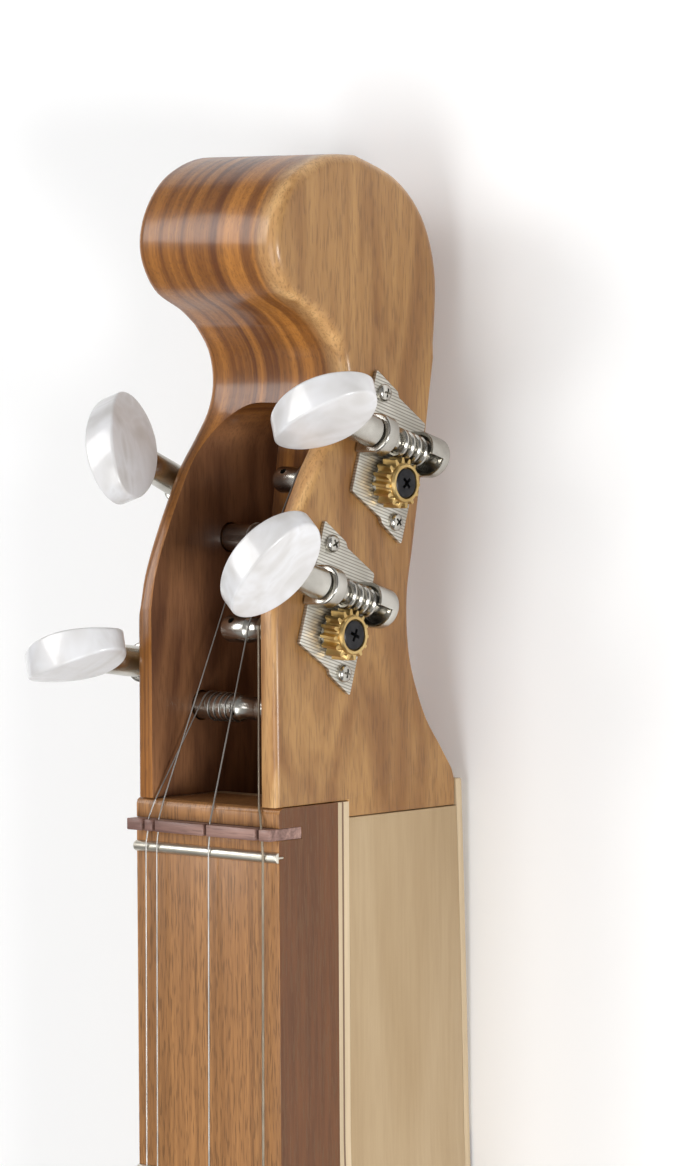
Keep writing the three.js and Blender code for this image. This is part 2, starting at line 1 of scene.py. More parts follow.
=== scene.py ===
# %% [markdown]
# # A mountain dulcimer
#
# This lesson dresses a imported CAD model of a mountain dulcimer: a long, narrow box with a raised
# fretboard on top, a carved scroll head, and four open-geared tuners with pearl buttons. The CAD
# frame already says where everything is and what turns, so the lesson only adds the fine surfaces.
# +X runs from the scroll to the tail, +Y to the bass side and +Z out of the fretboard.

# %% Load the frame
import json
import math

import bmesh
import bpy
from mathutils import Matrix, Vector


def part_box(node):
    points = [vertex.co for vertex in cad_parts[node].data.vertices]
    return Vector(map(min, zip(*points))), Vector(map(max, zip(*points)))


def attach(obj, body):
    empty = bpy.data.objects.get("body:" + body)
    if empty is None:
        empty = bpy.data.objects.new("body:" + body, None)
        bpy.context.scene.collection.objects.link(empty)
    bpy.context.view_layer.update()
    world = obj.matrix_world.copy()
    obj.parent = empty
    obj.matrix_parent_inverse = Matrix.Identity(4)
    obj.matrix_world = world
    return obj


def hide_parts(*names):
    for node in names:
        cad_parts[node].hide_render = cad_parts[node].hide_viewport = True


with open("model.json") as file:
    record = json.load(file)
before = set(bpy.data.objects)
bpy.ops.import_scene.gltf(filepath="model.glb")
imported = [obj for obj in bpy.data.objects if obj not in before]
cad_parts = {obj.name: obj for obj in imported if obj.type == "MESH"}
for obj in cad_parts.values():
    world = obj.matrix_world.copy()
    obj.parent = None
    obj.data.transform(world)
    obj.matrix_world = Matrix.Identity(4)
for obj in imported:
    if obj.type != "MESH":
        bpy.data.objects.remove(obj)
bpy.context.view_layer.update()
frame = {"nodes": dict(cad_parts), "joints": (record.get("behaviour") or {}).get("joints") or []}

# %% [markdown]
# ## Measures
#
# Small hardware is easiest to think about in millimetres, and Blender works in metres, so every
# piece is drawn in millimetres and scaled once, when it is put in place. The places of the head
# and the boards are read from the frame: nothing here moves a CAD part.

# %% Shared measures
MM = 0.001
BODY = "body"
FULL_TURN = 2 * math.pi
TO_METRES = Matrix.Scale(MM, 4)


def box_mm(node):
    low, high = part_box(node)
    return low / MM, high / MM


BOARD_LOW, BOARD_HIGH = box_mm("fretboard")
HEAD_LOW, HEAD_HIGH = box_mm("headstock")
JOINT_X = BOARD_LOW.x
FRONT_Z = BOARD_HIGH.z
HALF_HEAD = HEAD_HIGH.y
print(f"joint at x {JOINT_X:.1f} mm, playing surface at z {FRONT_Z:.1f} mm")
print(f"head {2 * HALF_HEAD:.1f} mm wide")

# %% [markdown]
# ## Camera
#
# The camera looks down on the head end from the bass side, so that the front of the fretboard and
# the side of the head show about equally. It stands well back with a long lens, because a short
# lens would swell the near tuner buttons.

# %% Camera
CAMERA_PLACE = Vector((-0.4253, 0.8456, 0.9463))
LOOK_ACROSS = math.radians(42.3)
LOOK_ALONG = math.radians(3.24)
ROLL = 0.0055
LENS = 163.6
SENSOR = 36.0


def make_camera():
    across = Vector((0, -math.sin(LOOK_ACROSS), -math.cos(LOOK_ACROSS)))
    forward = across * math.cos(LOOK_ALONG) + Vector((math.sin(LOOK_ALONG), 0, 0))
    right = Vector((ROLL, math.cos(LOOK_ACROSS), -math.sin(LOOK_ACROSS)))
    up = right.cross(forward).normalized()
    right = forward.cross(up).normalized()
    turn = Matrix((right, up, -forward)).transposed()
    data = bpy.data.cameras.new("camera")
    data.lens = LENS
    data.sensor_fit = "VERTICAL"
    data.sensor_height = SENSOR
    camera = bpy.data.objects.new("camera", data)
    camera.matrix_world = Matrix.Translation(CAMERA_PLACE) @ turn.to_4x4()
    bpy.context.scene.collection.objects.link(camera)
    bpy.context.scene.camera = camera


make_camera()
joint = Vector((JOINT_X * MM, 0, 0))
print("camera stands", round((CAMERA_PLACE - joint).length, 3), "m from the joint")

# %% [markdown]
# ## Studio
#
# Varnished wood and nickel only look like themselves when they have something to reflect. The key
# panel stands low on the bass side, so the near cheek shades the peg slot. A second panel opposite
# puts a gloss on the front, and one overhead fills the rest. The sky fades from white to grey at
# the horizon, so that round metal gets darker edges. The floor is plain and pale.

# %% Floor, sky and lights
FLOOR_SIZE = 30.0
LIGHTS = [                                  # name, place, aim, size, watts
    ("key", (0.0, 1.80, 0.92), (-0.33, 0.0, 0.05), 0.55, 26),
    ("gloss", (-0.85, -1.05, 1.15), (-0.36, 0.0, 0.05), 0.8, 12),
    ("overhead", (0.35, 0.1, 2.2), (-0.1, 0.0, 0.05), 1.5, 23),
]


def make_floor():
    bm = bmesh.new()
    bmesh.ops.create_grid(bm, x_segments=1, y_segments=1, size=FLOOR_SIZE / 2)
    mesh = bpy.data.meshes.new("floor")
    bm.to_mesh(mesh)
    bm.free()
    floor = bpy.data.objects.new("floor", mesh)
    bpy.context.scene.collection.objects.link(floor)
    material = bpy.data.materials.new("floor")
    material.use_nodes = True
    shader = material.node_tree.nodes["Principled BSDF"]
    shader.inputs["Base Color"].default_value = (0.93, 0.93, 0.93, 1)
    shader.inputs["Roughness"].default_value = 0.9
    mesh.materials.append(material)


def make_sky():
    world = bpy.data.worlds.new("studio")
    bpy.context.scene.world = world
    world.use_nodes = True
    nodes, links = world.node_tree.nodes, world.node_tree.links
    coord = nodes.new("ShaderNodeTexCoord")
    split = nodes.new("ShaderNodeSeparateXYZ")
    ramp = nodes.new("ShaderNodeValToRGB")
    ramp.color_ramp.elements[0].color = (0.16, 0.16, 0.17, 1)
    ramp.color_ramp.elements[1].color = (1.0, 1.0, 1.0, 1)
    ramp.color_ramp.elements[1].position = 0.75
    links.new(coord.outputs["Generated"], split.inputs[0])
    links.new(split.outputs["Z"], ramp.inputs[0])
    links.new(ramp.outputs[0], nodes["Background"].inputs["Color"])
    nodes["Background"].inputs["Strength"].default_value = 0.37


def make_light(name, place, aim, size, watts):
    data = bpy.data.lights.new(name, "AREA")
    data.shape = "SQUARE"
    data.size = size
    data.energy = watts
    light = bpy.data.objects.new(name, data)
    direction = Vector(aim) - Vector(place)
    turn = direction.to_track_quat("-Z", "Y").to_matrix().to_4x4()
    light.matrix_world = Matrix.Translation(place) @ turn
    bpy.context.scene.collection.objects.link(light)


make_floor()
make_sky()
for light in LIGHTS:
    make_light(*light)
bpy.context.scene.view_settings.view_transform = "Standard"
print("floor and", len(LIGHTS), "soft panels")

# %% [markdown]
# ## Helpers for materials
#
# A procedural material is a small machine: a coordinate goes in, patterns are worked out from it,
# and colour, roughness and bump come out. A small class keeps each recipe readable: `add` makes a
# node and fills in its sockets, and each other helper is one kind of pattern or one link.

# %% Node helpers
class Recipe:
    """A material under construction."""

    def __init__(self, name, **shader_values):
        self.material = bpy.data.materials.new(name)
        self.material.use_nodes = True
        self.tree = self.material.node_tree
        self.shader = self.tree.nodes["Principled BSDF"]
        for socket, value in shader_values.items():
            self.shader.inputs[socket.replace("_", " ")].default_value = value
        self.coord = self.tree.nodes.new("ShaderNodeTexCoord")

    def add(self, kind, inputs=(), **settings):
        node = self.tree.nodes.new("ShaderNode" + kind)
        for key, value in settings.items():
            setattr(node, key, value)
        for socket, value in dict(inputs).items():
            if isinstance(value, bpy.types.NodeSocket):
                self.tree.links.new(value, node.inputs[socket])
            else:
                node.inputs[socket].default_value = value
        return node

    def stretched(self, scale, source="Object"):
        mapping = self.add("Mapping", {0: self.coord.outputs[source]})
        mapping.inputs["Scale"].default_value = scale
        return mapping.outputs[0]

    def noise(self, vector, detail=4.0, distortion=0.0, roughness=0.5):
        node = self.add("TexNoise", {"Vector": vector, "Scale": 1.0, "Detail": detail})
        node.inputs["Distortion"].default_value = distortion
        node.inputs["Roughness"].default_value = roughness
        return node.outputs["Fac"]

    def ramp(self, factor, stops, interpolation="LINEAR"):
        node = self.add("ValToRGB", {"Fac": factor})
        ramp = node.color_ramp
        ramp.interpolation = interpolation
        while len(ramp.elements) < len(stops):
            ramp.elements.new(0.5)
        for element, (position, colour) in zip(ramp.elements, stops):
            element.position = position
            element.color = (*colour, 1)
        return node.outputs["Color"]

    def remap(self, value, low, high):
        node = self.add("MapRange", {"Value": value, "To Min": low, "To Max": high})
        return node.outputs["Result"]

    def mix(self, factor, a, b, blend="MIX"):
        node = self.add("Mix", data_type="RGBA", blend_type=blend)
        for socket, value in ((0, factor), (6, a), (7, b)):
            if isinstance(value, bpy.types.NodeSocket):
                self.tree.links.new(value, node.inputs[socket])
            elif socket == 0:
                node.inputs[socket].default_value = value
            else:
                node.inputs[socket].default_value = (*value, 1)
        return node.outputs[2]

    def into(self, socket, output):
        self.tree.links.new(output, self.shader.inputs[socket])

    def bump(self, height, depth_mm, strength=1.0, normal=None):
        node = self.add("Bump", {"Height": height, "Strength": strength})
        node.inputs["Distance"].default_value = depth_mm * MM
        if normal is not None:
            self.tree.links.new(normal, node.inputs["Normal"])
        return node.outputs[0]


print("recipe helper ready")

# %% [markdown]
# ## Wood
#
# Wood is a bundle of tubes laid along the board. Three things show: the broad figure, which is the
# year rings cut at a slant; the fine fibre; and the pores, which are short dark dashes. All three
# are the same kind of noise, pulled out along the grain by a Mapping node. The grain runs along X
# in the boards and along Y in the nut and the bridge. One recipe serves them all, with different
# colours and scales, and it can paint shade on the faces that look across the board.

# %% Wood recipe
def figure(recipe, scale, pale, deep, distortion=0.9):
    """The broad bands of the year rings."""
    broad = recipe.noise(recipe.stretched(scale), detail=3.0, distortion=distortion)
    middle = tuple((p + d) / 2 for p, d in zip(pale, deep))
    return recipe.ramp(broad, [(0.34, deep), (0.5, middle), (0.64, pale)])


FIBRE = {"X": (45, 900, 900), "Y": (900, 45, 900)}
PORES = {"X": (200, 2300, 2300), "Y": (2300, 200, 2300)}


def finish_wood(recipe, colour, pore_colour, pores, threads, gloss, along="X"):
    """Lays the fibre and the pores over a wood's figure."""
    strands = recipe.noise(recipe.stretched(FIBRE[along]), detail=4.0, roughness=0.65)
    dark, light = 1 - threads, 1 + threads / 5
    tone = recipe.ramp(strands, [(0.3, (dark, dark - 0.02, dark - 0.04)), (0.62, (light, light, light))])
    colour = recipe.mix(1.0, colour, tone, "MULTIPLY")
    dashes = recipe.noise(recipe.stretched(PORES[along]), detail=1.0)
    pore_mask = recipe.ramp(dashes, [(0.36, (0, 0, 0)), (0.46, (1, 1, 1))])
    open_wood = recipe.mix(pores, colour, pore_colour)
    recipe.into("Base Color", recipe.mix(pore_mask, open_wood, colour))
    recipe.into("Roughness", recipe.remap(strands, gloss + 0.10, gloss - 0.08))
    surface = recipe.bump(strands, 0.04, threads)
    recipe.into("Normal", recipe.bump(pore_mask, 0.03, pores, surface))


def facing_side(recipe, low=0.55, high=0.97):
    """1 where the surface faces across the board, and 0 where it faces along or up; it steers painted
    shade.
    """
    across = recipe.add("SeparateXYZ", {0: recipe.coord.outputs["Normal"]}).outputs["Y"]
    across = recipe.add("Math", {0: across}, operation="ABSOLUTE").outputs[0]
    return recipe.add("MapRange", {"Value": across, "From Min": low, "From Max": high}).outputs["Result"]


def wood(name, pale, deep, bands, pores=0.5, threads=0.28, gloss=0.42, coat=0.25,
         painted_side_shade=None, along="X"):
    recipe = Recipe(name, Coat_Weight=coat, Coat_Roughness=0.22, Specular_IOR_Level=0.3)
    colour = figure(recipe, bands, pale, deep)
    # Painted shade: faces that look across the board are darkened by this tone.
    if painted_side_shade:
        shade = recipe.mix(facing_side(recipe), (1, 1, 1), painted_side_shade)
        colour = recipe.mix(1.0, colour, shade, "MULTIPLY")
    pore_colour = tuple(d * 0.45 for d in deep)
    finish_wood(recipe, colour, pore_colour, pores, threads, gloss, along)
    return recipe.material


MATERIALS = {
    # The fretboard's faces that look across it get painted shade from the tone below.
    "board_walnut": wood("board_walnut", (0.395, 0.188, 0.066), (0.285, 0.130, 0.045), (5, 420, 60),
                         pores=0.6, threads=0.26, painted_side_shade=(0.37, 0.275, 0.20)),
    "side_maple": wood("side_maple", (0.465, 0.345, 0.205), (0.385, 0.270, 0.145), (7, 60, 34),
                       pores=0.0, threads=0.07, gloss=0.46),
    "end_block": wood("end_block", (0.36, 0.20, 0.10), (0.22, 0.11, 0.055), (4, 160, 160)),
    "brace_spruce": wood("brace_spruce", (0.70, 0.52, 0.31), (0.55, 0.37, 0.19), (4, 420, 420),
                         pores=0.1, gloss=0.6, coat=0.0),
    "nut_wood": wood("nut_wood", (0.36, 0.215, 0.175), (0.17, 0.090, 0.075), (420, 12, 420),
                     pores=0.3, gloss=0.46, along="Y"),
    "bridge_wood": wood("bridge_wood", (0.23, 0.12, 0.095), (0.10, 0.048, 0.040), (420, 12, 420),
                        along="Y"),
}
print("wood finishes:", ", ".join(MATERIALS))

# %% [markdown]
# ## The head's walnut and its painted shade
#
# The head takes two walnut figures by the way its surface faces. The outer sides take a pale one,
# and the scroll's front, the throat and the other cheek take a dark, striped one: the wood's own
# stripes, with painted shade on the faces that look up. The pale figure is darkened on the sides,
# which is painted shade too. The edge of the bass cheek turns pale by its place across the head.
# The walls of the slot take a third, darker figure, which is painted shade in the recess. A point's
# place across the head and the way its surface faces tell the three apart.

# %% Head walnut
SLOT_WALL = 17.5 * MM
SLOT_MARGIN = 0.3 * MM
# The head turns paler towards the bass side between these two distances from its middle.
BASS_PALE_START, BASS_PALE_FULL = 15 * MM, 20 * MM


def head_walnut():
    recipe = Recipe("head_walnut", Coat_Weight=0.28, Coat_Roughness=0.16, Specular_IOR_Level=0.3)
    # A pale figure and a dark, striped one; which one shows is chosen below by the way a face looks.
    light = figure(recipe, (13, 90, 60), (0.66, 0.395, 0.168), (0.40, 0.200, 0.072), 2.2)
    dark = figure(recipe, (2, 250, 12), (0.43, 0.175, 0.036), (0.13, 0.042, 0.011), 0.7)
    flat = facing_side(recipe)
    # Painted shade: the pale figure is darkened on faces that look across the head.
    light = recipe.mix(1.0, light, recipe.mix(flat, (1, 1, 1), (0.56, 0.50, 0.40)), "MULTIPLY")
    # Paler towards the bass side, by place across the head.
    place = recipe.add("SeparateXYZ", {0: recipe.coord.outputs["Object"]}).outputs["Y"]
    bass_pale = recipe.add(
        "MapRange", {"Value": place, "From Min": BASS_PALE_START, "From Max": BASS_PALE_FULL})
    place = recipe.add("Math", {0: place}, operation="ABSOLUTE").outputs[0]
    outside = recipe.add("Math", {0: place, 1: SLOT_WALL + SLOT_MARGIN}, operation="GREATER_THAN")
    outside = outside.outputs[0]
    # Painted shade: outer sides take the pale figure, and faces that look up take the dark one.
    outer = recipe.add("Math", {0: flat, 1: outside}, operation="MULTIPLY").outputs[0]
    pale = recipe.add("Math", {0: outer, 1: bass_pale.outputs["Result"]}, operation="MAXIMUM").outputs[0]
    # Painted shade in the recess: the walls of the slot take the darker figure below.
    shaded_wall = recipe.add("Math", {0: flat, 1: outer}, operation="SUBTRACT").outputs[0]
    slot = figure(recipe, (9, 60, 60), (0.34, 0.160, 0.070), (0.12, 0.050, 0.025), 1.5)
    colour = recipe.mix(shaded_wall, recipe.mix(pale, dark, light), slot)
    finish_wood(recipe, colour, (0.07, 0.030, 0.015), 0.28, 0.13, 0.38)
    return recipe.material


MATERIALS["head_walnut"] = head_walnut()
print(f"the head's wood turns pale from {BASS_PALE_START / MM:.0f} to {BASS_PALE_FULL / MM:.0f} mm out")

# %% [markdown]
# ## Laminated edges
#
# The soundboard is a sheet of three plies. Its faces look like one wood, but the edge shows a dark
# core between two pale skins. The back is pale with one dark ply on its outside. A ramp with hard
# steps, driven by height, draws the plies where the saw cut through them.

# %% Laminate recipe
def laminate(name, node, plies):
    low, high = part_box(node)
    recipe = Recipe(name, Coat_Weight=0.2, Coat_Roughness=0.25)
    threads = recipe.noise(recipe.stretched((10, 500, 500)), detail=4.0, roughness=0.6)
    broad = recipe.noise(recipe.stretched((3, 70, 30)), detail=3.0, distortion=0.7)
    split = recipe.add("SeparateXYZ", {0: recipe.coord.outputs["Object"]})
    height = recipe.add("MapRange", {"Value": split.outputs["Z"], "From Min": low.z, "From Max": high.z})
    layers = recipe.ramp(height.outputs["Result"], plies, "CONSTANT")
    shade = recipe.ramp(broad, [(0.35, (0.84, 0.82, 0.79)), (0.62, (1.05, 1.05, 1.05))])
    colour = recipe.mix(1.0, layers, shade, "MULTIPLY")
    tone = recipe.ramp(threads, [(0.3, (0.80, 0.79, 0.77)), (0.62, (1.03, 1.03, 1.03))])
    recipe.into("Base Color", recipe.mix(1.0, colour, tone, "MULTIPLY"))
    recipe.into("Roughness", recipe.remap(threads, 0.5, 0.36))
    recipe.into("Normal", recipe.bump(threads, 0.03, 0.3))
    return recipe.material


PALE_PLY = (0.66, 0.52, 0.34)
DARK_PLY = (0.20, 0.115, 0.065)
MATERIALS["soundboard_laminate"] = laminate(
    "soundboard_laminate", "soundboard",
    [(0.0, PALE_PLY), (0.50, DARK_PLY), (0.655, PALE_PLY)])
MATERIALS["back_laminate"] = laminate(
    "back_laminate", "back",
    [(0.0, DARK_PLY), (0.14, PALE_PLY)])
print("laminates for the soundboard and the back")

# %% [markdown]
# ## Metals
#
# Plated hardware is metallic with low roughness, and it is never quite even: handling leaves faint
# smears that change the roughness and dull the colour in patches. The tuner plates are also
# engraved with fine parallel lines, which follow the plate however it is turned on the head, so
# they are drawn in the plate's own UV map, where one unit is a millimetre.

# %% Metal recipes
LINE_SPACING = 0.72
LINE_SCALE = math.pi / (10 * LINE_SPACING)


def metal(name, bright, dull, rough, grain=(900, 900, 900)):
    recipe = Recipe(name, Metallic=1.0)
    smear = recipe.noise(recipe.stretched((120, 120, 120)), detail=5.0, distortion=0.4)
    scratch = recipe.noise(recipe.stretched(grain), detail=3.0)
    colour = recipe.ramp(smear, [(0.35, dull), (0.62, bright)])
    recipe.into("Base Color", colour)
    recipe.into("Roughness", recipe.remap(smear, rough + 0.08, rough - 0.04))
    recipe.into("Normal", recipe.bump(scratch, 0.006, 0.5))
    return recipe


def engraved_nickel():
    recipe = metal("plate_nickel", (0.72, 0.70, 0.64), (0.56, 0.54, 0.48), 0.42)
    lines = recipe.add("TexWave", {"Vector": recipe.stretched((1, 1, 1), "UV"), "Scale": LINE_SCALE},
                       bands_direction="Y", wave_profile="SIN")
    grooves = recipe.ramp(lines.outputs["Fac"], [(0.08, (0, 0, 0)), (0.45, (1, 1, 1))])
    smear = recipe.shader.inputs["Base Color"].links[0].from_socket
    recipe.into("Base Color", recipe.mix(grooves, (0.34, 0.32, 0.275), smear))
    recipe.into("Normal", recipe.bump(grooves, 0.05, 0.6))
    return recipe.material


MATERIALS["plate_nickel"] = engraved_nickel()
MATERIALS["tuner_nickel"] = metal("tuner_nickel", (0.60, 0.58, 0.53), (0.40, 0.38, 0.34), 0.22).material
MATERIALS["pin_steel"] = metal("pin_steel", (0.66, 0.64, 0.60), (0.45, 0.43, 0.40), 0.28).material
MATERIALS["string_steel"] = metal("string_steel", (0.42, 0.41, 0.39), (0.30, 0.29, 0.27), 0.38).material
MATERIALS["fret_wire"] = metal(
    "fret_wire", (0.76, 0.73, 0.64), (0.60, 0.56, 0.47), 0.38, grain=(200, 3000, 3000)).material
MATERIALS["gear_brass"] = metal("gear_brass", (0.64, 0.46, 0.20), (0.45, 0.30, 0.11), 0.34).material
print("engraved lines every", LINE_SPACING, "mm")

# %% Wound string and black screw
def wound_string():
    recipe = metal("string_wound", (0.44, 0.38, 0.29), (0.30, 0.25, 0.19), 0.4)
    wraps = recipe.add("TexWave", {"Vector": recipe.stretched((1, 1, 1)), "Scale": 1400.0},
                       bands_direction="X", wave_profile="SIN")
    recipe.into("Normal", recipe.bump(wraps.outputs["Fac"], 0.05, 0.7))
    return recipe.material


def black_oxide():
    recipe = Recipe("screw_black", Metallic=0.75)
    smear = recipe.noise(recipe.stretched((400, 400, 400)), detail=4.0)
    colour = recipe.ramp(smear, [(0.3, (0.012, 0.012, 0.014)), (0.7, (0.035, 0.034, 0.036))])
    recipe.into("Base Color", colour)
    recipe.into("Roughness", recipe.remap(smear, 0.5, 0.34))
    recipe.into("Normal", recipe.bump(smear, 0.01, 0.4))
    return recipe.material


MATERIALS["string_wound"] = wound_string()
MATERIALS["screw_black"] = black_oxide()
print("materials so far:", len(MATERIALS))

# %% [markdown]
# ## Pearl
#
# The buttons are pearl celluloid: a milky plastic with folded sheets of shimmer inside. Folded
# sheets look like noise that has been pushed around by more noise, in faint greys and creams. A
# clear coat over it gives the polished skin.

# %% Pearl recipe
def pearl():
    recipe = Recipe("button_pearl", Coat_Weight=0.5, Coat_Roughness=0.10)
    folds = recipe.noise(recipe.stretched((35, 35, 70)), detail=2.0, distortion=2.2)
    clouds = recipe.noise(recipe.stretched((90, 160, 90)), detail=3.0, distortion=1.0)
    colour = recipe.ramp(folds, [
        (0.28, (0.57, 0.555, 0.54)), (0.44, (0.65, 0.64, 0.635)),
        (0.56, (0.71, 0.71, 0.72)), (0.74, (0.58, 0.565, 0.55)),
    ])
    tone = recipe.ramp(clouds, [(0.35, (0.95, 0.945, 0.94)), (0.65, (1.02, 1.02, 1.03))])
    recipe.into("Base Color", recipe.mix(1.0, colour, tone, "MULTIPLY"))
    recipe.into("Roughness", recipe.remap(clouds, 0.36, 0.26))
    recipe.into("Normal", recipe.bump(folds, 0.02, 0.2))
    return recipe.material


MATERIALS["button_pearl"] = pearl()
print("pearl ready")

# %% [markdown]
# ## Helpers for pieces
#
# Every new piece goes through the same door: its bmesh is moved into place in metres, given smooth
# shading up to an angle and a material, told which body it rides on, and the CAD nodes it stands
# for are hidden. A second helper rounds sharp edges, because nothing made by hand or by a
# press has a perfectly sharp one, and that thin bright line along an edge is what makes a
# rendered object look solid.

# %% Piece helpers
SMOOTH_BELOW = math.radians(32)
made = []


def piece(bm, name, body, slot, material=None, place=TO_METRES, replaces=(), smooth=SMOOTH_BELOW):
    bmesh.ops.transform(bm, matrix=place, verts=bm.verts)
    mesh = bpy.data.meshes.new(name)
    bm.to_mesh(mesh)
    bm.free()
    if place.determinant() < 0:
        mesh.flip_normals()
    mesh.shade_smooth()
    mesh.set_sharp_from_angle(angle=smooth)
    mesh.materials.append(MATERIALS[material or slot])
    result = bpy.data.objects.new(name, mesh)
    bpy.context.scene.collection.objects.link(result)
    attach(result, body)
    if replaces:
        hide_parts(*replaces)
    made.append(name)
    return result


def ease(bm, width, segments=2, sharper=30, where=None):
    """Rounds the edges that are sharper than an angle and pass the test."""
    limit = math.radians(sharper)
    edges = [
        edge for edge in bm.edges
        if len(edge.link_faces) == 2 and edge.calc_face_angle(0) > limit
        and (where is None or where(edge))
    ]
    bmesh.ops.bevel(bm, geom=edges, offset=width, offset_type="OFFSET", segments=segments,
                    profile=0.5, affect="EDGES", clamp_overlap=True, material=-1)
    return len(edges)


def tidy(bm, gap=1e-4):
    bmesh.ops.remove_doubles(bm, verts=bm.verts, dist=gap)
    bmesh.ops.recalc_face_normals(bm, faces=bm.faces)


def turned(profile, steps=40):
    """A profile of (radius, height) turned about Z."""
    bm = bmesh.new()
    verts = [bm.verts.new((radius, 0, height)) for radius, height in profile]
    edges = [bm.edges.new(pair) for pair in zip(verts, verts[1:])]
    bmesh.ops.spin(bm, geom=verts + edges, cent=(0, 0, 0), axis=(0, 0, 1),
                   angle=FULL_TURN, steps=steps, use_merge=True)
    tidy(bm)
    return bm


def slab(outline, low, high):
    """A flat outline of (x, y) raised from one height to another."""
    bm = bmesh.new()
    face = bm.faces.new([bm.verts.new((x, y, low)) for x, y in outline])
    grown = bmesh.ops.extrude_face_region(bm, geom=[face])["geom"]
    lifted = [item for item in grown if isinstance(item, bmesh.types.BMVert)]
    bmesh.ops.translate(bm, verts=lifted, vec=(0, 0, high - low))
    tidy(bm)
    return bm


def merged(*parts):
    """One bmesh holding several."""
    whole = parts[0]
    for part in parts[1:]:
        mesh = bpy.data.meshes.new("part")
        part.to_mesh(mesh)
        part.free()
        whole.from_mesh(mesh)
        bpy.data.meshes.remove(mesh)
    return whole


def loose(bm, name, place=TO_METRES):
    """A helper object that isn't a piece, such as a cutter."""
    bmesh.ops.transform(bm, matrix=place, verts=bm.verts)
    mesh = bpy.data.meshes.new(name)
    bm.to_mesh(mesh)
    bm.free()
    result = bpy.data.objects.new(name, mesh)
    bpy.context.scene.collection.objects.link(result)
    return result


def combine(result, helpers, operation="DIFFERENCE"):
    for helper in helpers:
        boolean = result.modifiers.new("cut", "BOOLEAN")
        boolean.operation = operation
        boolean.solver = "EXACT"
        boolean.object = helper


def settle(result, helpers):
    """Applies a piece's modifiers, then deletes the helper objects."""
    bpy.context.view_layer.update()
    graph = bpy.context.evaluated_depsgraph_get()
    mesh = bpy.data.meshes.new_from_object(result.evaluated_get(graph))
    result.modifiers.clear()
    old = result.data
    result.data = mesh
    bpy.data.meshes.remove(old)
    mesh.name = result.name
    mesh.shade_smooth()
    mesh.set_sharp_from_angle(angle=SMOOTH_BELOW)
    for helper in helpers:
        bpy.data.objects.remove(helper)


print("piece helpers ready")

# %% [markdown]
# ## Boards, nut, bridge, frets and pins
#
# These CAD solids already have the right shape, down to the fret slots and the sound holes, but
# every edge is knife sharp. Each one is copied, its loose triangles are merged back into flat
# faces, its edges are eased by the amount a maker's sandpaper would, and the copy stands in for
# the CAD node. On the fretboard only the long edges near its playing surface are eased, so the
# tiny fret slots stay square.

# %% Copies with eased edges
def from_cad(node):
    bm = bmesh.new()
    bm.from_mesh(frame["nodes"][node].data)
    bmesh.ops.transform(bm, matrix=Matrix.Scale(1 / MM, 4), verts=bm.verts)
    bmesh.ops.remove_doubles(bm, verts=bm.verts, dist=0.002)
    bmesh.ops.dissolve_limit(bm, angle_limit=math.radians(0.6), verts=bm.verts, edges=bm.edges)
    return bm


def eased(node, slot, width, where=None):
    """A finished copy of a CAD node; gives the number of edges that were eased."""
    bm = from_cad(node)
    count = ease(bm, width, sharper=40, where=where)
    piece(bm, f"{node}_finished", BODY, slot, replaces=[node])
    return count


def long_board_edge(edge):
    return edge.calc_length() > 3.0 and all(v.co.z > FRONT_Z - 12 for v in edge.verts)


print("fretboard edges eased:", eased("fretboard", "board_walnut", 0.45, where=long_board_edge))
for node, slot, width in [
    ("soundboard", "soundboard_laminate", 0.35),
    ("back", "back_laminate", 0.3),
    ("side_bass", "side_maple", 0.2),
    ("side_treble", "side_maple", 0.2),
    ("tail_block", "end_block", 0.3),
    ("nut", "nut_wood", 0.22),
    ("bridge", "bridge_wood", 0.3),
]:
    print(node, "edges eased:", eased(node, slot, width))

# %% Frets, pins and braces
frets = ["zero_fret"] + [f"fret_{i + 1}" for i in range(14)]
for fret in frets:
    eased(fret, "fret_wire", 0.18, where=lambda edge: abs(edge.verts[0].co.y) > 20)
pins = [name for name in frame["nodes"] if name.endswith("_hitch_pin")]
for pin in pins:
    eased(pin, "pin_steel", 0.2, where=lambda edge: edge.verts[0].co.x > BOARD_HIGH.x)
braces = [name for name in frame["nodes"] if "_brace_" in name]
for brace in braces:
    eased(brace, "brace_spruce", 0.5)
print(len(frets), "frets,", len(pins), "pins,", len(braces), "braces")

# %% [markdown]
# ## Head
#
# A maker saws the scroll's side view out of a thick board, files its long edges round, and then
# routs the open peg slot from the front. The blank is made the same way: an outline through a few
# points, extruded across the head. The file takes almost nothing at the fretboard and up to
# 3 mm around the scroll, so the Bevel modifier takes its width from a weight on each edge. The
# slot and the post holes are then cut with Boolean modifiers.

# %% Head outline
THROAT = [
    (44, 0), (52, 1.5), (62, 5.5), (75.9, 12.7), (84, 18.8),
    (90.5, 23.2), (97, 24.7), (104, 23.2), (110, 18.6),
]
SCROLL = [
    (110, 18.6), (113.4, 13.9), (118.2, 5.2), (126.8, 0.6), (136, 1.9), (144.3, 8.2), (149, 18.5),
    (149.4, 29.5),
]
UNDERSIDE = [
    (149.4, 29.5), (144.4, 42.8), (135.8, 52), (123.2, 56.6), (108.7, 56.2), (92.3, 53.6),
    (76, 50.8), (57.4, 47.4),
]
FOOT = [
    (57.4, 47.4), (45.7, 45.4), (31.7, 46.2), (18.8, 50.9), (11.2, 56.1), (5.4, 60.2),
]


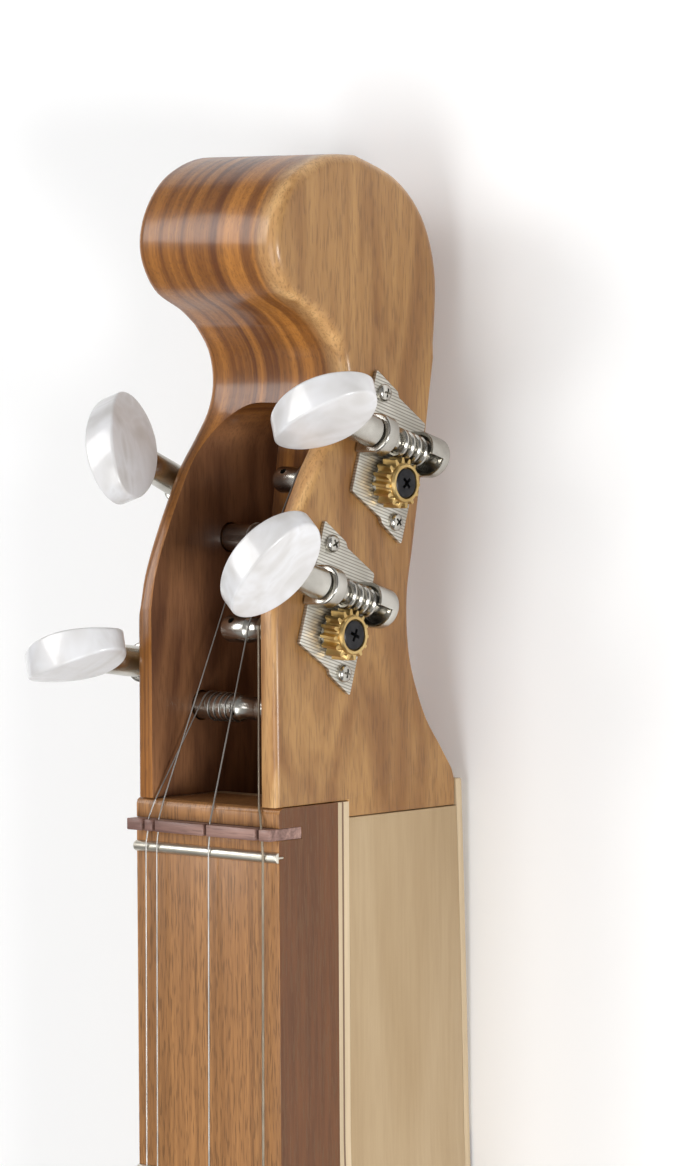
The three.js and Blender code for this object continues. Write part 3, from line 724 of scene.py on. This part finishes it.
def through(points, steps):
    """A smooth run through points, by the Catmull-Rom rule, without its last point."""
    run = []
    for i in range(len(points) - 1):
        before = Vector(points[max(i - 1, 0)])
        start, end = Vector(points[i]), Vector(points[i + 1])
        after = Vector(points[min(i + 2, len(points) - 1)])
        for step in range(steps):
            t = step / steps
            pull = (end - before) * 0.5
            push = (after - start) * 0.5
            bend = (2 * start - 2 * end + pull + push) * t ** 3
            curve = (-3 * start + 3 * end - 2 * pull - push) * t ** 2
            run.append(bend + curve + pull * t + start)
    return run


SIDE_LOW = box_mm("side_bass")[0]
TOP_LOW = box_mm("soundboard")[0].z
FIT = 0.1
HEAD_STEP = SIDE_LOW.x - JOINT_X - FIT
FOOT_END = 2.6
FOOT_LOW = 5.35


def head_outline():
    """The side view as (up, deep): distance past the joint, and below the front surface."""
    run = [Vector((FIT, 0))]
    for points, steps in ((THROAT, 5), (SCROLL, 6), (UNDERSIDE, 5), (FOOT, 5)):
        run += through(points, steps)
    deepest = FRONT_Z - FOOT_LOW
    below = FRONT_Z - TOP_LOW + FIT
    run += [Vector(FOOT[-1]), Vector((FOOT_END, deepest)), Vector((-HEAD_STEP, deepest))]
    run += [Vector((-HEAD_STEP, below)), Vector((FIT, below))]
    return [(JOINT_X - up, FRONT_Z - deep) for up, deep in run]


print("head outline points:", len(head_outline()))

# %% Filing width along the head
FILE_START, FILE_FULL = 4.0, 42.0
FILE_WIDTH = 3.0
START_SHARE = 0.12
BACK_SHARE = 0.5
BACK_DEPTH, BACK_END = 30, 105


def file_weight(edge):
    """How much of the full width the file takes off one edge of the blank."""
    middle = (edge.verts[0].co + edge.verts[1].co) / 2
    up = JOINT_X - middle.x
    grown = min(max((up - FILE_START) / (FILE_FULL - FILE_START), 0.0), 1.0)
    share = START_SHARE + (1 - START_SHARE) * grown
    on_back = FRONT_Z - middle.z > BACK_DEPTH and up < BACK_END
    return share * (BACK_SHARE if on_back else 1.0)


def head_blank():
    bm = bmesh.new()
    verts = [bm.verts.new((x, HALF_HEAD, z)) for x, z in head_outline()]
    face = bm.faces.new(verts)
    grown = bmesh.ops.extrude_face_region(bm, geom=[face])["geom"]
    far = [item for item in grown if isinstance(item, bmesh.types.BMVert)]
    bmesh.ops.translate(bm, verts=far, vec=(0, -2 * HALF_HEAD, 0))
    tidy(bm)
    weights = bm.edges.layers.float.new("bevel_weight_edge")
    for edge in bm.edges:
        across = abs(edge.verts[0].co.y - edge.verts[1].co.y) > 1
        edge[weights] = 0.0 if across else file_weight(edge)
    return bm


# %% Slot and post-hole cutters
CHEEK = 5.0
SLOT_TOP = 92.0
SLOT_CORNER = 13.0
SLOT_FLOOR = [(-5, 39), (48, 39), (80, 43.5), (120, 43.5)]


def slot_floor(up):
    """Depth of the slot's floor at a distance past the joint."""
    for (start, a), (end, b) in zip(SLOT_FLOOR, SLOT_FLOOR[1:]):
        if up <= end:
            return a + (b - a) * max(up - start, 0) / (end - start)
    return SLOT_FLOOR[-1][1]


def slot_cutter():
    """The slot's plan, dropped through the head until its lower end meets the sloping floor."""
    half = HALF_HEAD - CHEEK
    top = JOINT_X - SLOT_TOP + SLOT_CORNER
    arc = [math.radians(90 * step / 12) for step in range(13)]
    plan = [(JOINT_X + 20, half)]
    plan += [(top - SLOT_CORNER * math.sin(a), half - SLOT_CORNER * (1 - math.cos(a))) for a in arc]
    plan += [(x, -y) for x, y in reversed(plan)]
    bm = slab(plan, FRONT_Z - 60, FRONT_Z + 30)
    for up, depth in SLOT_FLOOR[1:3]:
        everything = bm.verts[:] + bm.edges[:] + bm.faces[:]
        bmesh.ops.bisect_plane(bm, geom=everything, plane_co=(JOINT_X - up, 0, 0), plane_no=(1, 0, 0))
    for vert in bm.verts:
        if vert.co.z < FRONT_Z - 50:
            vert.co.z = FRONT_Z - slot_floor(JOINT_X - vert.co.x)
    bm.normal_update()
    return bm


print("slot is", 2 * (HALF_HEAD - CHEEK), "mm wide and", slot_floor(0), "mm deep at the joint")

# %% [markdown]
# ## Tuner frames
#
# All four tuners are alike, so each piece is drawn once, lying flat: local X runs along the worm
# shaft, local Y from the string post towards the worm, and local Z out of the cheek. The joints in
# the frame carry exactly these axes, so a matrix built from them puts every piece in place. The
# two sides of the head take mirrored plates, which is what `side` is for.

# %% Tuner frames
class Tuner:
    """Where one tuner sits, read from its two joints."""

    def __init__(self, name):
        joints = {joint["name"]: joint for joint in frame["joints"]}
        post, worm = joints[f"{name}_post_turn"], joints[f"{name}_worm_turn"]
        self.name = name
        outward, along = Vector(post["axis"]), Vector(worm["axis"])
        self.centre = Vector(post["pos_m"])
        self.side = 1 if outward.y > 0 else -1
        turn = Matrix((along, outward.cross(along), outward)).transposed().to_4x4()
        self.place = Matrix.Translation(self.centre) @ turn @ Matrix.Scale(MM, 4)
        worm_point = self.place.inverted() @ Vector(worm["pos_m"])
        self.away, self.height = worm_point.y, worm_point.z
        low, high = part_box(f"{name}_button")
        self.reach = ((self.place.inverted() @ ((low + high) / 2)).x) * -self.side
        self.worm_body = f"{name}_worm"
        self.post_body = f"{name}_post"

    def shaft_place(self):
        """Local Z along the shaft, pointing at the button, with the origin beside the post."""
        turn = Matrix(((0, 0, -self.side), (0, 1, 0), (self.side, 0, 0))).to_4x4()
        return self.place @ Matrix.Translation((0, self.away, self.height)) @ turn


TUNERS = [Tuner(name) for name in ("melody_outer", "melody_inner", "middle", "bass")]
for tuner in TUNERS:
    print(tuner.name, "button", round(tuner.reach, 1), "mm from the post,",
          "worm", round(tuner.away, 2), "mm away")

# %% Saw, file and rout the head
HOLE_RADIUS = 3.6


def make_head():
    result = piece(head_blank(), "head", BODY, "head_walnut", replaces=["headstock"])
    filing = result.modifiers.new("filing", "BEVEL")
    filing.limit_method = "WEIGHT"
    filing.width = FILE_WIDTH * MM
    filing.segments = 6
    filing.use_clamp_overlap = False
    helpers = [loose(slot_cutter(), "slot_cutter")]
    for tuner in TUNERS:
        hole = turned([(0, -8), (HOLE_RADIUS, -8), (HOLE_RADIUS, 4), (0, 4)], steps=32)
        helpers.append(loose(hole, "post_hole", tuner.place))
    combine(result, helpers)
    easing = result.modifiers.new("easing", "BEVEL")
    easing.limit_method = "ANGLE"
    easing.angle_limit = math.radians(38)
    easing.width = 0.35 * MM
    easing.segments = 2
    settle(result, helpers)
    return result


head = make_head()
print("head faces:", len(head.data.polygons))

# %% [markdown]
# ## Tuner plates
#
# A plate is stamped from sheet nickel-silver: a flat lozenge with its corners cut, engraved, and
# with two lugs that hold the worm shaft. The lug near the button is a plain arch. The far lug is
# pressed into a hood that covers the end of the shaft. Extruding an outline and rounding its rim
# gives the sheet, and an arch drawn from a half circle gives both lugs.

# %% Plates
PLATE_THICK = 1.2
PLATE_OUTLINE = [
    (-10, 24.4), (-1.4, 21.5), (-1, 20.4), (10, 17), (10, -12.2), (2, -9.3), (1.4, -8.2), (-10, -4.9),
]
LUG_RADIUS = 4.8
NEAR_LUG = (-11.4, -7.6)
FAR_LUG = (8.6, 11.5)
SHAFT_HOLE = 3.05
WORM_CORE, WORM_CREST, WORM_PITCH = 2.3, 3.5, 2.35


def mirrored(points, side):
    """An outline for the other side of the head keeps its winding."""
    return points if side > 0 else [(-x, y) for x, y in reversed(points)]


def arch(tuner, low, high):
    """A lug: a block with a half-round top, spread along the shaft."""
    base = tuner.away
    outline = [(base - LUG_RADIUS, 0.6), (base + LUG_RADIUS, 0.6)]
    for step in range(21):
        angle = math.pi * step / 20
        across, up = LUG_RADIUS * math.cos(angle), LUG_RADIUS * math.sin(angle)
        outline.append((base + across, tuner.height + up))
    bm = slab(outline, low, high)
    turn = Matrix(((0, 0, tuner.side), (1, 0, 0), (0, 1, 0))).to_4x4()
    bmesh.ops.transform(bm, matrix=turn, verts=bm.verts)
    bmesh.ops.recalc_face_normals(bm, faces=bm.faces)
    return bm


def flat_uv(bm):
    """One unit of UV is a millimetre on the plate."""
    layer = bm.loops.layers.uv.new("UVMap")
    for face in bm.faces:
        for loop in face.loops:
            loop[layer].uv = (loop.vert.co.x, loop.vert.co.y)


def make_plate(tuner):
    sheet = slab(mirrored(PLATE_OUTLINE, tuner.side), 0.1, PLATE_THICK)
    upright = [edge for edge in sheet.edges if abs(edge.verts[0].co.z - edge.verts[1].co.z) > 0.5]
    bmesh.ops.bevel(sheet, geom=upright, offset=0.7, offset_type="OFFSET", segments=3,
                    profile=0.5, affect="EDGES", clamp_overlap=True, material=-1)
    ease(sheet, 0.28, 2, 50)
    flat_uv(sheet)
    return piece(sheet, f"{tuner.name}_plate", BODY, "tuner_nickel", "plate_nickel", tuner.place,
                 replaces=[f"{tuner.name}_tuner_plate"])


def make_near_lug(tuner):
    bm = arch(tuner, *NEAR_LUG)
    ease(bm, 0.55, 3, 50)
    lug = piece(bm, f"{tuner.name}_near_lug", BODY, "tuner_nickel", place=tuner.place)
    hole = turned([(0, -1), (SHAFT_HOLE, -1), (SHAFT_HOLE, 20), (0, 20)], steps=32)
    cutter = loose(hole, "shaft_hole", tuner.shaft_place())
    combine(lug, [cutter])
    settle(lug, [cutter])


def make_far_lug(tuner):
    low, high = FAR_LUG
    bm = arch(tuner, low - 4.2, high)
    ease(bm, 1.5, 5, 50, where=lambda edge: all(v.co.x * tuner.side > high - 0.1 for v in edge.verts))
    lug = piece(bm, f"{tuner.name}_far_lug", BODY, "tuner_nickel", place=tuner.place)
    clear = WORM_CREST + 0.35
    room = turned([(0, -9.6), (clear, -9.6), (clear, 20), (0, 20)], steps=32)
    cutter = loose(room, "worm_room", tuner.shaft_place())
    opening = slab([(-30, -30), (30, -30), (30, tuner.away - 0.5), (-30, tuner.away - 0.5)], 0, 40)
    bmesh.ops.translate(opening, verts=opening.verts, vec=(tuner.side * (low - 30.0), 0, PLATE_THICK))
    front = loose(opening, "gear_side", tuner.place)
    combine(lug, [cutter, front])
    edge = lug.modifiers.new("edge", "BEVEL")
    edge.limit_method = "ANGLE"
    edge.angle_limit = math.radians(45)
    edge.width = 0.2 * MM
    edge.segments = 2
    settle(lug, [cutter, front])


for tuner in TUNERS:
    make_plate(tuner)
    make_near_lug(tuner)
    make_far_lug(tuner)
print("plates and lugs for", len(TUNERS), "tuners")

# %% [markdown]
# ## Worm shafts
#
# The worm is a coarse screw thread on a turned shaft. The shaft is a profile spun about its axis.
# The thread is a small rounded section spun in the same way, but with a step along the axis at each
# step of the spin, which is all that a screw is. It starts and ends inside the shaft.

# %% Worm shafts
def coil(section, radius, pitch, turns, steps=24, sides=8, flat=1.0):
    """A round section wound about Z, from height 0 up."""
    bm = bmesh.new()
    bmesh.ops.create_circle(bm, segments=sides, radius=section)
    stand = Matrix.Rotation(math.pi / 2, 4, "X") @ Matrix.Diagonal((1, flat, 1, 1))
    bmesh.ops.transform(bm, matrix=Matrix.Translation((radius, 0, 0)) @ stand, verts=bm.verts)
    bmesh.ops.spin(bm, geom=bm.verts[:] + bm.edges[:], cent=(0, 0, 0), axis=(0, 0, 1),
                   dvec=(0, 0, pitch / steps), angle=FULL_TURN * turns, steps=round(steps * turns))
    ends = [edge for edge in bm.edges if edge.is_boundary]
    bmesh.ops.holes_fill(bm, edges=ends, sides=0)
    tidy(bm)
    return bm


def taper_ends(bm, pitch, turns, fade, sink):
    """Lets both ends of a coil sink towards its axis over a part of a turn."""
    for vert in bm.verts:
        passed = vert.co.z / pitch
        near_end = min(passed, turns - passed)
        share = max(0.0, 1 - near_end / fade)
        vert.co.xy = vert.co.xy * (1 - sink * share)


THREAD_START, THREAD_TURNS = -6.4, 4.7
THREAD_ROUND = 0.78
BUTTON_LONG, BUTTON_SHORT = 14.0, 8.5


def make_worm(tuner):
    neck = tuner.reach - BUTTON_SHORT
    shaft = turned([
        (0, -13.0), (1.8, -13.0), (2.2, -12.6), (2.2, -8.6), (WORM_CORE, -8.0), (WORM_CORE, 6.2),
        (2.8, 6.6), (2.8, 11.9), (3.35, 12.0), (3.7, 12.35), (3.7, 15.6), (3.55, neck - 0.4),
        (3.0, neck + 1.4), (1.4, neck + 1.5), (1.4, neck + 6), (0, neck + 6),
    ], steps=48)
    thread = coil(THREAD_ROUND, WORM_CREST - 0.75, WORM_PITCH, THREAD_TURNS, steps=28, sides=10, flat=0.98)
    taper_ends(thread, WORM_PITCH, THREAD_TURNS, 0.35, 0.3)
    bmesh.ops.translate(thread, verts=thread.verts, vec=(0, 0, THREAD_START))
    worm = merged(shaft, thread)
    return piece(worm, f"{tuner.name}_worm", tuner.worm_body, "tuner_nickel",
                 place=tuner.shaft_place(), replaces=[f"{tuner.name}_worm_shaft"])


for tuner in TUNERS:
    make_worm(tuner)
print("worms with", THREAD_TURNS, "turns of thread")

# %% [markdown]
# ## Pearl buttons
#
# A button is a thick oval cut from pearl sheet. Its faces are ground to a low curve that is
# thickest across the middle, which leaves a broad rim with a soft ridge on each side. It is drawn
# as ovals of growing size at falling height, bridged from one to the next, and only the ridge
# between face and rim is bevelled. Every button stopped at its own angle when it was last tuned.

# %% Buttons
RIM_ROUND = 0.6
HALF_THICK = 4.5
FALL_LONG, FALL_SHORT = 1.9, 0.35           # how much thinner the face is at each end of the oval
BUTTON_TURNS = {"melody_outer": -18, "melody_inner": 68, "middle": 28, "bass": 52}


def half_thickness(x, y):
    return HALF_THICK - FALL_LONG * (y / BUTTON_LONG) ** 2 - FALL_SHORT * (x / BUTTON_SHORT) ** 2


def oval(bm, share, side):
    ring = bmesh.ops.create_circle(bm, segments=64, radius=1.0)["verts"]
    for vert in ring:
        vert.co.x *= BUTTON_SHORT * share
        vert.co.y *= BUTTON_LONG * share
        vert.co.z = side * half_thickness(vert.co.x, vert.co.y)
    return list({edge for vert in ring for edge in vert.link_edges})


def bridged(bm, loops):
    for first, second in zip(loops, loops[1:]):
        bmesh.ops.bridge_loops(bm, edges=first + second)


def button_form():
    bm = bmesh.new()
    shares = [0.12, 0.3, 0.5, 0.68, 0.84, 1.0]
    loops = [oval(bm, share, 1) for share in shares]
    loops += [oval(bm, share, -1) for share in reversed(shares)]
    bridged(bm, loops)
    bmesh.ops.holes_fill(bm, edges=[edge for edge in bm.edges if edge.is_boundary], sides=0)
    tidy(bm)
    ease(bm, RIM_ROUND, 5, 45)
    return bm


def make_button(tuner):
    bm = button_form()
    lean = math.radians(90 - BUTTON_TURNS[tuner.name])
    local = Matrix.Translation((-tuner.side * tuner.reach, tuner.away, tuner.height))
    return piece(bm, f"{tuner.name}_pearl_button", tuner.worm_body, "button_pearl",
                 place=tuner.place @ local @ Matrix.Rotation(lean, 4, "X"),
                 replaces=[f"{tuner.name}_button"], smooth=math.radians(60))


for tuner in TUNERS:
    make_button(tuner)
print("buttons", 2 * BUTTON_LONG, "by", 2 * BUTTON_SHORT, "mm")

# %% [markdown]
# ## Brass gears
#
# Each gear is a stack of closed rings with the same number of points: a bore, a toothed ring at
# each face, the plain rim around the screw, and the seat that the screw head sits in. Bridging one
# ring to the next makes one clean solid. The upper toothed ring is turned a little, because the
# teeth of a worm gear lean with the thread.

# %% Gears
TEETH = 15
TOOTH_POINTS = 8
GEAR = {"outer": 5.95, "root": 4.75, "low": 2.7, "high": 7.3, "face": 8.2, "ring": 4.5}
GEAR_BORE, SEAT_RADIUS, SEAT_HEIGHT = 2.45, 3.6, 7.05
TOOTH_LEAN = math.radians(5)


def tooth_radius(angle):
    """A gap faces the worm, and tooth tops are rounded."""
    share = ((angle - math.pi / 2) * TEETH / FULL_TURN) % 1.0
    lift = min(max((0.5 - abs(share - 0.5) - 0.19) / 0.17, 0.0), 1.0)
    smooth = lift * lift * (3 - 2 * lift)
    return GEAR["root"] + (GEAR["outer"] - GEAR["root"]) * smooth


def ring_of(bm, height, radius=None, lean=0.0):
    ring = bmesh.ops.create_circle(bm, segments=TEETH * TOOTH_POINTS, radius=1.0)["verts"]
    for vert in ring:
        angle = math.atan2(vert.co.y, vert.co.x)
        size = tooth_radius(angle) if radius is None else radius
        vert.co = (size * math.cos(angle + lean), size * math.sin(angle + lean), height)
    return list({edge for vert in ring for edge in vert.link_edges})


def make_gear(tuner):
    bm = bmesh.new()
    low, high, face = GEAR["low"], GEAR["high"], GEAR["face"]
    loops = [
        ring_of(bm, low, GEAR_BORE), ring_of(bm, low, GEAR["root"] - 0.2), ring_of(bm, low + 0.02),
        ring_of(bm, low + 2.3, lean=TOOTH_LEAN / 2), ring_of(bm, high - 0.25, lean=TOOTH_LEAN),
        ring_of(bm, high, GEAR["root"] - 0.1, lean=TOOTH_LEAN),
        ring_of(bm, high, GEAR["ring"] + 0.05, TOOTH_LEAN),
        ring_of(bm, face - 0.2, GEAR["ring"], TOOTH_LEAN),
        ring_of(bm, face, GEAR["ring"] - 0.2, TOOTH_LEAN),
        ring_of(bm, face, SEAT_RADIUS + 0.1, TOOTH_LEAN),
        ring_of(bm, face - 0.12, SEAT_RADIUS, TOOTH_LEAN),
        ring_of(bm, SEAT_HEIGHT, SEAT_RADIUS, TOOTH_LEAN),
        ring_of(bm, SEAT_HEIGHT, GEAR_BORE, TOOTH_LEAN),
    ]
    bridged(bm, loops + [loops[0]])
    tidy(bm)
    return piece(bm, f"{tuner.name}_brass_gear", tuner.post_body, "gear_brass", place=tuner.place,
                 replaces=[f"{tuner.name}_gear"], smooth=math.radians(45))


for tuner in TUNERS:
    make_gear(tuner)
print("gears with", TEETH, "teeth")

# %% [markdown]
# ## Screws
#
# A cross-head screw is a turned dome with a tapered cross sunk in it. The cross is cut with two
# narrow wedges at right angles. The plate screws are small and bright; the screw that holds the
# gear is larger, flat and black.

# %% Screws
def wedge(length, width, depth, top):
    """One arm of the cross, narrower at its bottom."""
    bm = bmesh.new()
    bmesh.ops.create_cube(bm, size=1.0)
    bmesh.ops.scale(bm, vec=(length, width, depth), verts=bm.verts)
    bmesh.ops.translate(bm, vec=(0, 0, top + 0.3 - depth / 2), verts=bm.verts)
    for vert in bm.verts:
        if vert.co.z < top:
            vert.co.x *= 0.45
            vert.co.y *= 0.8
    return bm


def make_screw(name, body, slot, profile, cross, place, turn, replaces=()):
    top = max(height for radius, height in profile)
    spot = place @ Matrix.Rotation(math.radians(turn), 4, "Z")
    screw = piece(turned(profile, 36), name, body, slot, place=spot, replaces=replaces)
    length, width, depth = cross
    arms = []
    for quarter in (0, math.pi / 2):
        arm = wedge(length, width, depth, top)
        arms.append(loose(arm, "cross", spot @ Matrix.Rotation(quarter, 4, "Z")))
    combine(screw, arms)
    settle(screw, arms)
    return screw


PAN_HEAD = [
    (0, 0.2), (1.0, 0.2), (1.0, PLATE_THICK), (2.1, PLATE_THICK + 0.02), (2.15, PLATE_THICK + 0.25),
    (2.0, PLATE_THICK + 0.75), (1.6, PLATE_THICK + 1.15), (0.9, PLATE_THICK + 1.4),
    (0, PLATE_THICK + 1.48),
]
GEAR_HEAD = [
    (0, 0.8), (1.5, 0.8), (1.5, 7.15), (3.4, 7.15), (3.42, 7.9), (3.1, 8.15), (0, 8.28),
]
SCREW_PLACES = {"worm_end": (-6.4, 19.8), "post_end": (6.2, -7.8)}
for count, tuner in enumerate(TUNERS):
    for turn, (end, (x, y)) in enumerate(SCREW_PLACES.items()):
        spot = tuner.place @ Matrix.Translation((tuner.side * x, y, 0))
        make_screw(f"{tuner.name}_{end}_screw", BODY, "tuner_nickel", PAN_HEAD, (2.5, 0.55, 1.6),
                   spot, 20 + 37 * count + 55 * turn)
    make_screw(f"{tuner.name}_black_screw", tuner.post_body, "screw_black", GEAR_HEAD, (3.4, 0.8, 2.2),
               tuner.place, 8 + 25 * count, replaces=[f"{tuner.name}_gear_screw"])
print("screws:", 3 * len(TUNERS))

# %% [markdown]
# ## String posts
#
# A post is a turned rod with a waist that keeps the string from creeping, and two small holes for
# its end. It is spun from a profile, and the holes are drilled with a Boolean.

# %% Posts
POST_RADIUS, POST_WAIST, POST_END = 3.175, 2.75, 32.0
POST_HOLES = (17.3, 28.8)
HOLE_TURN = 65


def make_post(tuner):
    profile = [
        (0, -POST_END), (2.1, -POST_END), (2.9, -POST_END + 0.35), (POST_RADIUS, -POST_END + 1.1),
        (POST_RADIUS, -24.6), (POST_RADIUS - 0.1, -24.3), (POST_WAIST, -23.6), (POST_WAIST, -19.4),
        (POST_RADIUS - 0.1, -18.7), (POST_RADIUS, -18.4), (POST_RADIUS, 1.3), (4.2, 1.45),
        (4.2, 2.6), (2.3, 2.6), (2.3, 6.9), (1.6, 6.9), (1.6, 0.5), (0, 0.5),
    ]
    post = piece(turned(profile, 48), f"{tuner.name}_string_post", tuner.post_body, "tuner_nickel",
                 place=tuner.place, replaces=[f"{tuner.name}_post"])
    drills = []
    for at in POST_HOLES:
        drill = turned([(0, -5), (0.8, -5), (0.8, 5), (0, 5)], 20)
        lie = Matrix.Translation((0, 0, -at)) @ Matrix.Rotation(math.radians(HOLE_TURN), 4, "Z")
        drills.append(loose(drill, "drill", tuner.place @ lie @ Matrix.Rotation(math.pi / 2, 4, "X")))
    combine(post, drills)
    settle(post, drills)


for tuner in TUNERS:
    make_post(tuner)
print("posts", 2 * POST_RADIUS, "mm thick")

# %% [markdown]
# ## Strings
#
# The CAD strings run from their pins over the bridge and the nut to their posts, and keep that
# route. What is missing is the winding: a few turns of wire that leave the string where it meets
# the post and creep along it to the hole. The winding rides on the post, because it turns with it.

# %% Windings
STRING_RADIUS = {"melody_outer": 0.17, "melody_inner": 0.17, "middle": 0.2, "bass": 0.3}
STRING_LIFT = 0.28                           # the first part of a turn rises towards the string
STRING_TUCK = 0.7                            # and the last part dips into the hole


def string_look(name):
    return "string_wound" if name == "bass" else "string_steel"


def string_end(name):
    """Where the CAD string meets its post: the middle of its last ring of points."""
    low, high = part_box(f"{name}_string")
    points = [v.co for v in frame["nodes"][f"{name}_string"].data.vertices if v.co.x < low.x + 0.4 * MM]
    return sum(points, Vector()) / len(points)


def make_winding(tuner, turns):
    radius = STRING_RADIUS[tuner.name]
    start = string_end(tuner.name)
    axis_point = Vector((tuner.centre.x, start.y, tuner.centre.z))
    hole = Vector(tuner.place @ Vector((0, 0, -POST_HOLES[0])))
    travel = (hole.y - start.y) / MM
    pitch = abs(travel) / turns
    wound = POST_RADIUS + radius + 0.02
    bm = coil(radius, wound, pitch, turns, steps=32)
    for vert in bm.verts:
        passed = vert.co.z / pitch
        lead_in = max(0.0, 1 - passed / 0.3) * STRING_LIFT
        tuck = max(0.0, 1 - (turns - passed) / 0.12) * STRING_TUCK
        vert.co.xy = vert.co.xy * (1 + (lead_in - tuck) / wound)
    radial = (start - axis_point).normalized()
    forward = Vector((0, 1 if travel > 0 else -1, 0))
    sideways = Vector((0, -1, 0)).cross(radial)
    turn = Matrix((radial, sideways, forward)).transposed().to_4x4()
    place = Matrix.Translation(axis_point) @ turn @ TO_METRES
    return piece(bm, f"{tuner.name}_winding", tuner.post_body, "string_steel",
                 string_look(tuner.name), place)


TURNS = {"melody_outer": 5, "melody_inner": 4, "middle": 5, "bass": 3}
for tuner in TUNERS:
    make_winding(tuner, TURNS[tuner.name])
    string = frame["nodes"][f"{tuner.name}_string"]
    string.data.materials.clear()
    string.data.materials.append(MATERIALS[string_look(tuner.name)])
print("windings:", TURNS)

# %% [markdown]
# ## Loop ends
#
# At the tail each string ends in a loop that drops over its pin, with the wire's end twisted back
# round the string above it. The loop is a thin ring spun about the pin, and the twist is a short
# coil about the last straight stretch of the string.

# %% Loops at the pins
LOOP_WIRE = 0.2
TWIST_PITCH, TWIST_TURNS = 0.9, 12


def last_stretch(name):
    """The ends of the straight stretch that comes down the end of the fretboard to its pin."""
    data = frame["nodes"][f"{name}_string"].data
    points = [v.co for v in data.vertices if v.co.z < (FRONT_Z - 2) * MM and v.co.x > 0]
    low, high = min(p.z for p in points), max(p.z for p in points)
    lower = [p for p in points if p.z < (low + high) / 2]
    upper = [p for p in points if p.z >= (low + high) / 2]
    return sum(lower, Vector()) / len(lower), sum(upper, Vector()) / len(upper)


def make_loop(name):
    radius = STRING_RADIUS[name]
    lower, upper = last_stretch(name)
    pin_low, pin_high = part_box(f"{name}_hitch_pin")
    pin = Vector((lower.x, (pin_low.y + pin_high.y) / 2, (pin_low.z + pin_high.z) / 2))
    loop = coil(LOOP_WIRE, (lower - pin).length / MM, 0.01, 1.0, steps=40)
    along_x = Matrix.Translation(pin) @ Matrix.Rotation(math.pi / 2, 4, "Y") @ TO_METRES
    twist = coil(LOOP_WIRE, radius + LOOP_WIRE * 0.8, TWIST_PITCH, TWIST_TURNS, steps=16)
    up = (upper - lower).normalized()
    place = Matrix.Translation(lower) @ up.to_track_quat("Z", "Y").to_matrix().to_4x4() @ TO_METRES
    bmesh.ops.transform(twist, matrix=along_x.inverted() @ place, verts=twist.verts)
    piece(merged(loop, twist), f"{name}_loop_end", BODY, "string_steel", string_look(name), along_x)


for name in STRING_RADIUS:
    make_loop(name)
print("loop ends:", len(STRING_RADIUS))

# %% [markdown]
# ## Finish
#
# The number of pieces made is printed.

# %% Finish
print("pieces made:", len(made))
